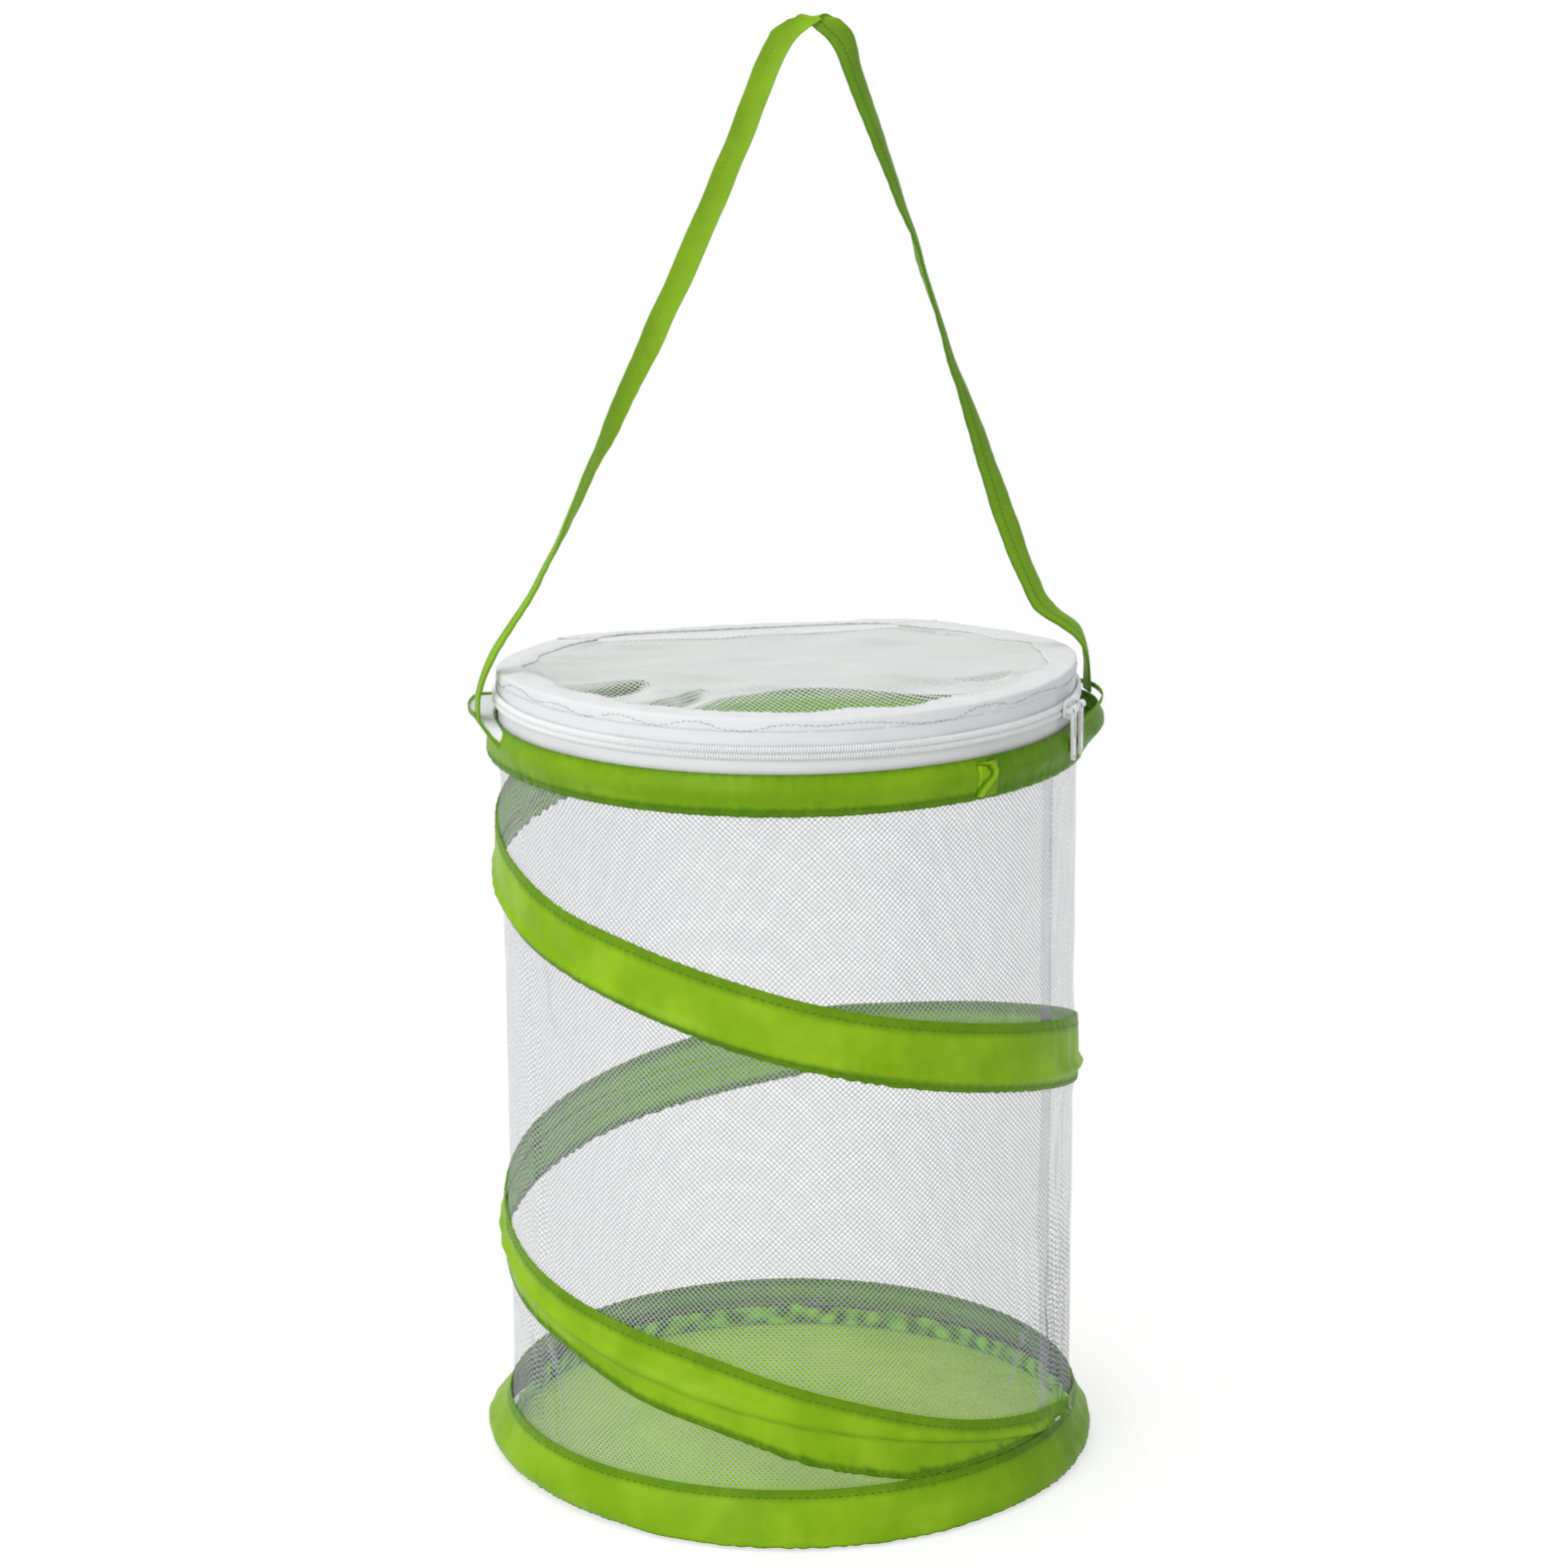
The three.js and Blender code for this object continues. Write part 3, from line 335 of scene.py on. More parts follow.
green_thread = thread("green_thread", (0.10, 0.245, 0.008))
grey_thread = thread("grey_thread", (0.42, 0.45, 0.44))
white_thread = thread("white_thread", (0.82, 0.83, 0.83))

# %% [markdown]
# ### Net
# The wall's net has about five holes to the centimetre, far too many to model, so its material
# cuts them: two families of slanting lines are thread and the rest is clear. The yarn is so thin
# that light passes it, so the lines only cover in part, and shade what is behind them even less.
# A slow noise pulls the net about a little, because a perfect grid would beat against the net
# behind it. The wall is a real sheet with two faces. Its inner face covers only a little, just
# enough to close the net up where it is seen on edge.

# %% Wall net
NET_PITCH = 1.5
THREAD_SHARE = 0.078
THREAD_COVER = 0.85
NET_SOFT = 0.02
INNER_FACE = 0.25
NET_SHADOW = 0.4
NET_WANDER = 1.6
WANDER_SIZE = 34


def net_cloth(name, colour, pitch, share, cover):
    """Net of slanting threads: their pitch in millimetres, half their share of it, and how well they cover."""
    material, tree, shader = finish(name, colour, 0.62, Sheen_Weight=0.1)
    pulled = wire(tree, "ShaderNodeTexNoise", {}, {0: place_of(tree), 2: 1 / (WANDER_SIZE * MM), 3: 1.0}).outputs[1]
    lay = wire(
        tree, "ShaderNodeVectorMath", {"operation": "MULTIPLY_ADD"}, {0: pulled, 1: (NET_WANDER * MM,) * 3, 2: lay_of(tree)},
    ).outputs[0]
    slanted = wire(
        tree, "ShaderNodeMapping", {"vector_type": "POINT"},
        {0: lay, 2: (0, 0, math.radians(45)), 3: (1 / (pitch * MM),) * 3},
    ).outputs[0]
    apart = wire(tree, "ShaderNodeSeparateXYZ", {}, {0: slanted}).outputs
    lines = [maths(tree, "PINGPONG", apart[k], 0.5) for k in (0, 1)]
    nearest = maths(tree, "MINIMUM", *lines)
    uneven = ramp(tree, blotches(tree, place_of(tree), 9), 0.3, 0.7, share * 0.93, share * 1.07)
    holes = maths(tree, "SUBTRACT", nearest, uneven)
    path = tree.nodes.new("ShaderNodeLightPath").outputs
    lit_through = maths(tree, "MAXIMUM", path["Is Shadow Ray"], path["Is Diffuse Ray"])
    covering = wire(tree, "ShaderNodeMapRange", {}, {0: lit_through, 3: cover, 4: cover * NET_SHADOW}).outputs[0]
    inner = wire(tree, "ShaderNodeMapRange", {}, {0: facing_in(tree), 3: 1.0, 4: INNER_FACE}).outputs[0]
    covering = maths(tree, "MULTIPLY", covering, inner)
    netted = maths(tree, "MULTIPLY", ramp(tree, holes, -NET_SOFT, NET_SOFT, 1.0, 0.0), covering)
    doubled_or_shaded = wire(tree, "ShaderNodeAttribute", {"attribute_name": DOUBLED_OR_SHADED}, {}).outputs["Fac"]
    alpha = maths(tree, "MAXIMUM", netted, maths(tree, "MULTIPLY", doubled_or_shaded, covering))
    tree.links.new(alpha, shader.inputs["Alpha"])
    bumped(tree, shader, [(ramp(tree, nearest, 0, share * 1.3, 1.0, 0.0), 0.5, 0.12)])
    return material


# Painted shade: the wall's white net is given a grey colour, for the shade in and between its fine threads.
wall_net_painted_shade = net_cloth("wall_net_painted_shade", (0.49, 0.502, 0.53), NET_PITCH, THREAD_SHARE, THREAD_COVER)
doubled_net = net_cloth("doubled_net", (0.84, 0.88, 0.92), NET_PITCH, 0.18, 0.3)


def net_yarn(name, colour):
    material, tree, shader = finish(name, colour, 0.6, Sheen_Weight=0.2)
    varied(tree, shader, colour, 0.94, 14)
    bumped(tree, shader, [(blotches(tree, place_of(tree), 0.5), 0.25, 0.1)])
    return material


lid_yarn = net_yarn("lid_yarn", (0.88, 0.905, 0.895))

# %% [markdown]
# ### White tape, coil, enamel, webbing
# The zip's tape and the lid's hem are matt woven polyester. The coil is clear, slightly glossy
# nylon. The pulls are die-cast metal under white enamel, and the strap is folded nylon webbing
# with fine ribs along it.

# %% Other finishes


def white_cloth(name, colour, pitch):
    material, tree, shader = finish(name, colour, 0.72, Sheen_Weight=0.15)
    varied(tree, shader, colour, 0.95, 9)
    weave = woven(tree, lay_of(tree), pitch)
    bumped(tree, shader, [(blotches(tree, place_of(tree), 5), 0.3, 0.35), (weave, 0.3, 0.06)])
    return material


def smooth_finish(name, colour, roughness, grain, **sockets):
    """A smooth finish whose colour and surface vary a little, by grains of so many millimetres."""
    material, tree, shader = finish(name, colour, roughness, **sockets)
    spots = varied(tree, shader, colour, 0.93, grain)
    bumped(tree, shader, [(spots, 0.08, 0.08)])
    return material


hem_cloth = white_cloth("hem_cloth", (0.84, 0.86, 0.865), 0.5)
zip_tape = white_cloth("zip_tape", (0.84, 0.86, 0.865), 0.62)
coil_nylon = smooth_finish("coil_nylon", (0.92, 0.935, 0.94), 0.34, 0.8, Specular_IOR_Level=0.5)
enamel = smooth_finish("white_enamel", (0.86, 0.865, 0.88), 0.2, 2.5, Coat_Weight=0.5, Coat_Roughness=0.12)
steel = smooth_finish("drawn_wire", (0.42, 0.43, 0.45), 0.32, 1.5, Metallic=1.0)
vinyl = smooth_finish("clear_vinyl", (0.82, 0.83, 0.82), 0.35, 2.0, Transmission_Weight=0.4)


def webbing(name, plain, deep):
    material, tree, shader = finish(name, plain, 0.5, Specular_IOR_Level=0.25)
    at = place_of(tree)
    clear = between(tree, ramp(tree, blotches(tree, at, 16), 0.3, 0.7), tuple(c * 0.86 for c in plain), plain)
    doubled_or_shaded = wire(tree, "ShaderNodeAttribute", {"attribute_name": DOUBLED_OR_SHADED}, {}).outputs["Fac"]
    tree.links.new(between(tree, doubled_or_shaded, clear, deep), shader.inputs["Base Color"])
    bumped(tree, shader, [(woven(tree, lay_of(tree), 0.5), 0.25, 0.06), (blotches(tree, at, 7), 0.3, 0.4)])
    return material


strap_webbing = webbing("strap_webbing", (0.265, 0.50, 0.012), (0.085, 0.225, 0.005))

# %% [markdown]
# ## Working with cloth
# A sheet starts as a flat grid and is bent into place, because that is what a sewn cloth is: a
# flat cut that was given a shape. One helper does that. It takes a rule that says where each point
# of the cut goes, keeps the cut's own lengths as the map, and turns the faces outwards.

# %% Helpers for shapes


def around(angle, radius, height):
    """Points on the cage, in metres, from degrees and millimetres."""
    turned = np.radians(angle)
    return np.stack([radius * np.cos(turned), radius * np.sin(turned), height + 0 * turned], -1) * MM


def smooth(value, low, high):
    """0 below low, 1 above high and a smooth step between them."""
    share = np.clip((value - low) / (high - low), 0, 1)
    return share * share * (3 - 2 * share)


def piece(name, bm, material, body=None, smooth_faces=True):
    """Turn a bmesh into an object that rides on a body."""
    mesh = bpy.data.meshes.new(name)
    bm.to_mesh(mesh)
    bm.free()
    mesh.materials.append(material)
    mesh.shade_smooth() if smooth_faces else mesh.shade_flat()
    made = bpy.data.objects.new(name, mesh)
    bpy.context.scene.collection.objects.link(made)
    if body:
        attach(made, body)
    print(name, len(mesh.vertices), "points,", len(mesh.polygons), "faces")
    return made


def bend(cells, cut, rule, doubled_or_shaded=None, ring=False, upward=False):
    """A flat grid of cells[0] by cells[1], for a cut of cut[0] by cut[1] millimetres, bent by a rule."""
    bm = bmesh.new()
    bmesh.ops.create_grid(bm, x_segments=cells[0], y_segments=cells[1], size=0.5)
    across = np.array([v.co.x for v in bm.verts]) + 0.5
    down = np.array([v.co.y for v in bm.verts]) + 0.5
    lay = bm.loops.layers.uv.new(LAY)
    for face in bm.faces:
        for corner in face.loops:
            flat = corner.vert.co
            corner[lay].uv = ((flat.x + 0.5) * cut[0] * MM, (flat.y + 0.5) * cut[1] * MM)
    shade = bm.verts.layers.float.new(DOUBLED_OR_SHADED)
    values = doubled_or_shaded(across, down) if doubled_or_shaded else np.zeros(len(across))
    for vert, point, value in zip(bm.verts, rule(across, down), values):
        vert.co = point
        vert[shade] = value
    if ring:
        bmesh.ops.remove_doubles(bm, verts=bm.verts, dist=2e-6)
        loose = [f for f in bm.faces if f.calc_area() < 1e-12]
        bmesh.ops.delete(bm, geom=loose, context="FACES")
    bm.normal_update()
    out = sum(
        (f.normal.z if upward else f.normal.x * f.calc_center_median().x + f.normal.y * f.calc_center_median().y)
        for f in bm.faces
    )
    if out < 0:
        bmesh.ops.reverse_faces(bm, faces=bm.faces)
    return bm


def thicken(made, thickness):
    """Give a sheet its thickness, inwards from the face that was bent."""
    solid = made.modifiers.new("thickness", "SOLIDIFY")
    solid.thickness = thickness * MM
    solid.offset = -1
    solid.use_even_offset = False
    solid.use_rim = True
    return made


def ripple(seed, x, y, wave, count=10):
    """A smooth random surface, about -1 to 1, whose waves are around so many units long."""
    dice = random.Random(seed)
    total = 0
    for _ in range(count):
        way = dice.uniform(0, math.pi)
        size = 2 * math.pi / (wave * dice.uniform(0.7, 1.5))
        total = total + np.sin(size * (x * math.cos(way) + y * math.sin(way)) + dice.uniform(0, 2 * math.pi))
    return total / math.sqrt(count)


def creases(seed, along, down, length, spacing, width, slant):
    """Soft folds that run across a band: their places, widths and slants are drawn by a seed."""
    dice = random.Random(seed)
    total = 0 * along
    at = dice.uniform(0, spacing)
    while at < length:
        wide = width * dice.uniform(0.6, 1.5)
        lean = slant * dice.uniform(-1, 1)
        middle = dice.uniform(0.25, 0.75)
        reach = dice.uniform(0.3, 0.6)
        total = total + dice.choice((-1, 1, 1)) * np.exp(
            -(((along - at - lean * (down - 0.5)) / wide) ** 2) - ((down - middle) / reach) ** 2
        )
        at += spacing * dice.uniform(0.4, 1.6)
    return total


# %% [markdown]
# ## Stitches
# A stitch is a short thread that dips into the cloth at both ends. A small round, stretched along
# the seam and half sunk in the cloth, looks the same at arm's length and has twenty faces, so a
# few thousand of them cost little.

# %% Stitch helper
STITCH_WIDTH = 0.5
STITCH_HEIGHT = 0.34


def stitch_row(name, rule, out_rule, shares, length, material, body=None, slant=0.0, width=STITCH_WIDTH):
    """Stitches at shares (along, down) of a bent cloth, each lying along the next point."""
    bm = bmesh.new()
    along = np.array([s[0] for s in shares])
    down = np.array([s[1] for s in shares])
    near, far = rule(along, down), rule(along + 1e-4, down)
    outs = out_rule(near)
    for k in range(len(shares)):
        start = Vector(near[k])
        way = (Vector(far[k]) - start).normalized()
        out = Vector(outs[k]).normalized()
        side = out.cross(way).normalized()
        if slant:
            way = (way + side * slant * (1 if k % 2 else -1)).normalized()
            side = out.cross(way).normalized()
        size = Vector((length / 2, width / 2, STITCH_HEIGHT / 2)) * MM
        placed = Matrix((way * size.x, side * size.y, out * size.z)).transposed().to_4x4()
        placed.translation = start
        bmesh.ops.create_icosphere(bm, subdivisions=1, radius=1, matrix=placed)
    return piece(name, bm, material, body)


def outward(points):
    """Level directions away from the cage's axis."""
    out = np.array(points, float)
    out[:, 2] = 0
    return out


def level_row(length, spacing, down):
    """Stitch places for a row at one share down a cut of that length."""
    count = int(length / spacing)
    return [((k + 0.5) / count, down) for k in range(count)]


# %% [markdown]
# ## The spring's sleeve
# A strip of nylon winds twice round the wall, with a wire inside. Its drop is measured every
# quarter turn and joined by a smooth curve, and two tables say where its sewn edges stray from it
# by a few millimetres. Its upper edge is folded over and stitched, its lower
# edge is gathered, and the wire stands out as a ridge that wanders up the strip on the way down.

# %% Course of the spiral
WALL_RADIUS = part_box("wall_mesh")[1].x / MM
CAGE_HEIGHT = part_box("rim_sleeve")[1].z / MM
RIM_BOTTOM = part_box("rim_sleeve")[0].z / MM
BASE_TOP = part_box("base_sleeve")[1].z / MM
LIP_RADIUS = WALL_RADIUS + 0.55
CROWN_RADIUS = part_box("rim_sleeve")[1].x / MM - 0.25
SEAT = 0.3
SPIRAL_START = -11
SPIRAL_TURN = 720
SPIRAL_TOP = CAGE_HEIGHT + 5
SPIRAL_END = 18
SPIRAL_WIDTHS = (25.5, 23)
DROP_SHARES = [0, 0.064, 0.157, 0.315, 0.457, 0.588, 0.708, 0.858, 1]
RIDGE_SHARES = (0.84, 0.41)
RIDGE_SHIFT = (300, 480)


def drop_at(quarters):
    """The share of the drop after so many quarter turns, on a smooth curve through the shares."""
    k = np.clip(np.floor(quarters).astype(int), 0, len(DROP_SHARES) - 2)
    known = np.array(DROP_SHARES)
    t = quarters - k
    first, last = known[k], known[k + 1]
    before = np.where(k > 0, known[np.maximum(k - 1, 0)], 2 * first - last)
    after = np.where(k < len(known) - 2, known[np.minimum(k + 2, len(known) - 1)], 2 * last - first)
    pull_in, pull_out = (last - before) / 2, (after - first) / 2
    return (
        first * (1 + 2 * t) * (1 - t) ** 2 + last * t * t * (3 - 2 * t)
        + pull_in * t * (1 - t) ** 2 - pull_out * t * t * (1 - t)
    )


SLEEVE_HEAD = 19.6
UPPER_STRAY = [
    (180, 0), (200, -0.4), (210, -1.0), (218, 0.3), (226, 1.4), (238, 1.3), (250, 1.0), (261, 0), (272, -0.6), (290, 0),
    (306, 0.5), (331, 0.6), (377, -0.9), (386, -0.8), (407, 0.1), (418, 1.0), (424, 2.2), (430, 3.2), (488, 3.2),
    (506, 3.2), (530, 2.2), (556, 1.0), (568, 2.3), (576, 3.2), (584, 4.4), (591, 4.9), (600, 6.1), (609, 5.0), (615, 3.6),
    (620, 2.6), (626, 1.8), (632, 0.7), (638, -0.4), (644, -1.9), (651, -2.7), (658, -3.4), (666, -3.2), (677, -2.6), (694, 0),
]
LOWER_STRAY = [
    (180, 0), (199, -0.1), (210, 0.8), (225, 1.7), (238, 1.5), (250, 0.2), (261, -0.3), (272, -0.8), (290, -1.0), (306, -0.6),
    (331, -0.6), (456, 0.4), (468, 1.1), (474, 1.7), (488, 1.8), (500, 2.4), (530, 3.4), (555, 3.4), (567, 5.1), (576, 4.4),
    (584, 2.2), (591, 1.7), (603, 2.1), (609, 0.9), (615, -0.3), (621, -2.5), (640, -3), (694, -3),
]


def strayed(angle, table):
    """How far a sewn edge strays from its even course, in millimetres, softened over a few degrees."""
    places, values = np.array(table).T
    around_it = [np.interp(angle + step, places, values) for step in (-6, -2, 2, 6)]
    return (around_it[0] + 2 * around_it[1] + 2 * around_it[2] + around_it[3]) / 6


def spiral_edges(angle):
    """Heights of the sleeve's upper edge, lower edge and ridge, in millimetres."""
    travelled = np.clip(angle - SPIRAL_START, 0, SPIRAL_TURN)
    share = travelled / SPIRAL_TURN
    upper = SPIRAL_TOP + (SPIRAL_END - SPIRAL_TOP) * drop_at(travelled / 90)
    width = SPIRAL_WIDTHS[0] + (SPIRAL_WIDTHS[1] - SPIRAL_WIDTHS[0]) * share
    low, high = RIDGE_SHARES
    ridge = upper - width * (low + (high - low) * smooth(travelled, *RIDGE_SHIFT))
    top = np.minimum(upper + strayed(angle, UPPER_STRAY), RIM_BOTTOM - SEAT)
    over_tip = TIP_COVER * np.exp(-((angle - TIPS[1]) / 6) ** 2)
    bottom = np.maximum(upper - width + strayed(angle, LOWER_STRAY), SLEEVE_HEAD + SEAT - over_tip)
    return top, bottom, ridge


FIRST, LAST = 1, 703
TIPS = (6.3, 689.5)
TIP_COVER = 1.6
SPIRAL_LENGTH = math.radians(LAST - FIRST) * LIP_RADIUS
print("spiral strip", round(SPIRAL_LENGTH), "mm long")

# %% Spiral sleeve
TOP_HEM = 4.2
LOW_HEM = 3.0


def band_relief(seed, along, down, depth, length):
    """How far a sleeve stands out from a smooth band, in millimetres, at places on its cut."""
    width = depth
    from_top, from_low = down * width, (1 - down) * width
    busy = 0.55 + 0.45 * ripple(seed + 1, along, 0 * along, 46)
    busy_low = 0.55 + 0.5 * ripple(seed + 2, along, 0 * along, 60)
    phase = 2.2 * ripple(seed + 3, along, 0 * along, 17)
    top_pucker = np.sin(2 * math.pi * along / 4.9 + phase) * np.exp(-from_top / 3.4)
    low_pucker = np.sin(2 * math.pi * along / 6.4 - phase) * np.exp(-from_low / 4.6)
    folds = creases(seed + 4, along, down, length, 15, 3.0, 9)
    soft = ripple(seed + 5, along, down * width * 1.4, 19)
    dome = np.sin(math.pi * np.clip(down, 0, 1)) ** 0.6
    return (
        0.30 * np.clip(busy, 0.1, 1) * top_pucker + 0.42 * np.clip(busy_low, 0.1, 1) * low_pucker
        + dome * (0.55 + 0.42 * folds + 0.16 * soft)
    )


def hem_shade(seed, along, from_top, from_low, top_hem, low_hem):
    """How deep the colour is in a band's upper and lower hem, with soft, puckered inner edges."""
    scallop = 0.2 * np.sin(2 * math.pi * along / 4.9 + 2.2 * ripple(seed, along, 0 * along, 17))
    top = 1 - smooth(from_top + scallop, top_hem - 1.3, top_hem + 2.0)
    low = 1 - smooth(from_low - scallop, low_hem - 1.0, low_hem + 0.9)
    patches = smooth(ripple(seed + 1, along, from_low * 1.6, 12), 0.5, 1.5) * (1 - smooth(from_low, 3, 8))
    return top, low, patches


def spiral_rule(across, down):
    angle = FIRST + (LAST - FIRST) * across
    along = across * SPIRAL_LENGTH
    top, bottom, ridge = spiral_edges(angle)
    depth = np.maximum(top - bottom, 1)
    height = top - down * depth
    filled = smooth(angle, FIRST, FIRST + 6) * (1 - smooth(angle, LAST - 8, LAST))
    over_wire = np.exp(-(((height - ridge) / 1.75) ** 2))
    inside_top = smooth(top - height, 0, 1.2) * smooth(height - bottom, 0, 1.2)
    relief = band_relief(11, along, down, depth, SPIRAL_LENGTH) * filled
    radius = LIP_RADIUS + 0.25 + (CROWN_RADIUS - LIP_RADIUS) * filled * over_wire * (0.3 + 0.7 * inside_top)
    for tip in TIPS:
        radius = radius + 1.7 * np.exp(-((angle - tip) / 4) ** 2)
    radius = np.maximum(radius + relief, WALL_RADIUS + 0.45)
    wavy_low = 0.55 * filled * np.sin(2 * math.pi * along / 6.4 - 2.2 * ripple(14, along, 0 * along, 17))
    calm = np.clip(0.5 + 0.5 * ripple(13, along, 0 * along, 60), 0, 1)
    height = height + wavy_low * calm * np.exp(-(height - bottom) / 2.0) * (depth > 8)
    return around(angle, radius, height)


def spiral_hems_and_shade(across, down):
    angle = FIRST + (LAST - FIRST) * across
    top, bottom, ridge = spiral_edges(angle)
    depth = np.maximum(top - bottom, 1)
    along = across * SPIRAL_LENGTH
    upper, low, patches = hem_shade(31, along, down * depth, (1 - down) * depth, TOP_HEM, LOW_HEM)
    second = smooth(angle, 330, 420)
    # Painted shade: a darker line just under the wire's ridge, deeper on the second turn.
    line = np.exp(-(((top - down * depth - ridge + 1.5) / 0.7) ** 2))
    return np.clip(0.72 * upper + 0.85 * low + 0.6 * second * patches + (0.3 + 0.15 * second) * line, 0, 1)


spiral_cloth = thicken(
    piece(
        "spiral_cloth", bend((1240, 22), (SPIRAL_LENGTH, 25), spiral_rule, spiral_hems_and_shade), sleeve_nylon,
        "base",
    ), 0.35,
)
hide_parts("spiral_sleeve")
spiral_seams = []
for name, from_edge in (("spiral_stitches_top", TOP_HEM - 1.0), ("spiral_stitches_low", -1.5)):
    places = []
    for share, _ in level_row(SPIRAL_LENGTH, 2.9, 0):
        top, bottom, _ = spiral_edges(np.array(FIRST + (LAST - FIRST) * share))
        if top - bottom > 9:
            places.append((share, (from_edge / (top - bottom)) % 1))
    spiral_seams.append(stitch_row(name, spiral_rule, outward, places, 2.0, green_thread, "base"))

CHANNEL_WIDTH = 6.0


def channel_rule(across, down):
    """The strip that closes the wire's channel on the wall's side."""
    angle = FIRST + 8 + (LAST - FIRST - 16) * across
    top, bottom, ridge = spiral_edges(angle)
    height = np.clip(ridge + CHANNEL_WIDTH * (0.5 - down), bottom + 0.3 * (1 - down), top - 0.3 * down)
    return around(angle, LIP_RADIUS + 0.02, height)


spiral_channel = thicken(
    piece(
        "spiral_channel", bend((900, 3), (SPIRAL_LENGTH, CHANNEL_WIDTH), channel_rule), sleeve_nylon, "base",
    ), 0.15,
)

# %% [markdown]
# ## The net wall
# The wall is one cylinder of net, drawn in by soft upright folds wherever no sleeve holds it out.
# When the cage is pressed flat its ends keep their height and the rest crumples, so the wall is
# cut in three: a strip at the foot, a strip at the rim, and the long middle.

# %% Wall net
FOLD_COUNT, FOLD_DEPTH, FOLD_FADE = 9, 1.2, 9
NET_THICKNESS = 0.4
SEAM_ANGLE = -38
WALL_LENGTH = 2 * math.pi * WALL_RADIUS
WALL_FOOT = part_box("wall_mesh")[0].z / MM
WALL_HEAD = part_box("wall_mesh")[1].z / MM


def free_net(angle, height):
    """How far a point of the wall is from the nearest sleeve, in millimetres."""
    free = np.minimum(RIM_BOTTOM - height, height - BASE_TOP)
    for turns in (0, 360, 720):
        turned = (angle + 360) % 360 + turns - 0
        turned = np.where(turned > LAST + 6, turned - 720, turned)
        top, bottom, _ = spiral_edges(turned)
        away = np.maximum(height - top, bottom - height)
        inside = (turned > FIRST - 6) & (turned < LAST + 6)
        free = np.where(inside, np.minimum(free, away), free)
    return free


WALL_CREASES = [
    (314.3, 66, 306.5, 40, 0.5), (319.0, 60, 314.5, 44, 0.35), (200.5, 62, 207.0, 36, 0.4), (193.5, 58, 196.5, 40, 0.3),
    (203.0, 205, 206.5, 172, 0.22), (330.0, 150, 332.0, 96, 0.25), (327.0, 128, 326.0, 104, 0.2),
]


def wall_doubled_between(low, high):
    """Sharp little folds, where the net lies double and looks whiter."""
    def doubled_or_shaded(across, down):
        angle = (SEAM_ANGLE + 360 * across) % 360
        height = high + (low - high) * down
        total = 0 * across
        for top_angle, top, low_angle, foot, depth in WALL_CREASES:
            share = (top - height) / (top - foot)
            away = angle - (top_angle + (low_angle - top_angle) * share + 0.25 * np.sin(share * 9))
            ends = smooth(share, 0, 0.2) * (1 - smooth(share, 0.75, 1))
            total = np.maximum(total, depth * ends * np.exp(-(away / 0.55) ** 2))
        return total
    return doubled_or_shaded


def wall_rule_between(low, high):
    def rule(across, down):
        angle = SEAM_ANGLE + 360 * across
        height = high + (low - high) * down
        free = smooth(free_net(angle, height), 0, FOLD_FADE)
        wave = 0.5 - 0.5 * np.cos(np.radians(FOLD_COUNT * angle + height / CAGE_HEIGHT * 90))
        small = 0.5 + 0.5 * ripple(41, angle * 1.84, height * 0.35, 14)
        near_seam = np.exp(-(((angle - SEAM_ANGLE + 180) % 360 - 180) / 16) ** 2) * (1 - smooth(height, 60, 130))
        near_left = np.exp(-((angle - 200) / 9) ** 2)
        pleats = np.abs(ripple(42, angle * 1.84 + height * 0.12, 0 * height, 9)) * (1.3 * near_seam + 0.9 * near_left)
        inward = FOLD_DEPTH * wave + 0.35 * np.clip(small, 0, 1) + pleats
        return around(angle, WALL_RADIUS - np.minimum(inward, 2.6) * free, height)
    return rule


def wall_part(name, low, high, cells, body):
    cut = (round(WALL_LENGTH / NET_PITCH / math.sqrt(2)) * NET_PITCH * math.sqrt(2), high - low)
    made = piece(
        name, bend(cells, cut, wall_rule_between(low, high), wall_doubled_between(low, high), ring=True), wall_net_painted_shade, body,
    )
    return thicken(made, NET_THICKNESS)


wall_middle = wall_part("wall_net_middle", BASE_TOP, RIM_BOTTOM, (690, 70), "base")
wall_foot = wall_part("wall_net_foot", WALL_FOOT, BASE_TOP, (180, 4), "base")
wall_head = wall_part("wall_net_head", RIM_BOTTOM, WALL_HEAD, (180, 4), "rim")
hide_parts("wall_mesh")

# %% Wall seam
seam_low, seam_high = (corner.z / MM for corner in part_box("wall_seam"))
SEAM_WIDTH = 8.4
SEAM_RADIUS = WALL_RADIUS - NET_THICKNESS - SEAT - FOLD_DEPTH - 0.1


def seam_rule(across, down):
    height = seam_high + (seam_low - seam_high) * down
    half = math.degrees(SEAM_WIDTH / 2 / SEAM_RADIUS)
    sway = 1.1 * ripple(51, height, 0 * height, 95)
    angle = SEAM_ANGLE + half * (2 * across - 1) + np.degrees(sway / SEAM_RADIUS)
    return around(angle, SEAM_RADIUS - 0.25 + 0.2 * ripple(52, height, across * 20, 22), height)


wall_seam = thicken(
    piece("wall_seam_strip", bend((8, 90), (SEAM_WIDTH, seam_high - seam_low), seam_rule), doubled_net, "base"),
    0.4,
)
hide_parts("wall_seam")

# %% [markdown]
# ## The two hooped ends
# Each end is a sleeve folded over a wire hoop. Its section is drawn once, from the upper edge over
# the hoop to the lower edge, and turned round the cage with the same hems and puckers as the
# spiral. The base's sleeve flares out to a wider hoop, which keeps the cage from tipping.

# %% Section helper


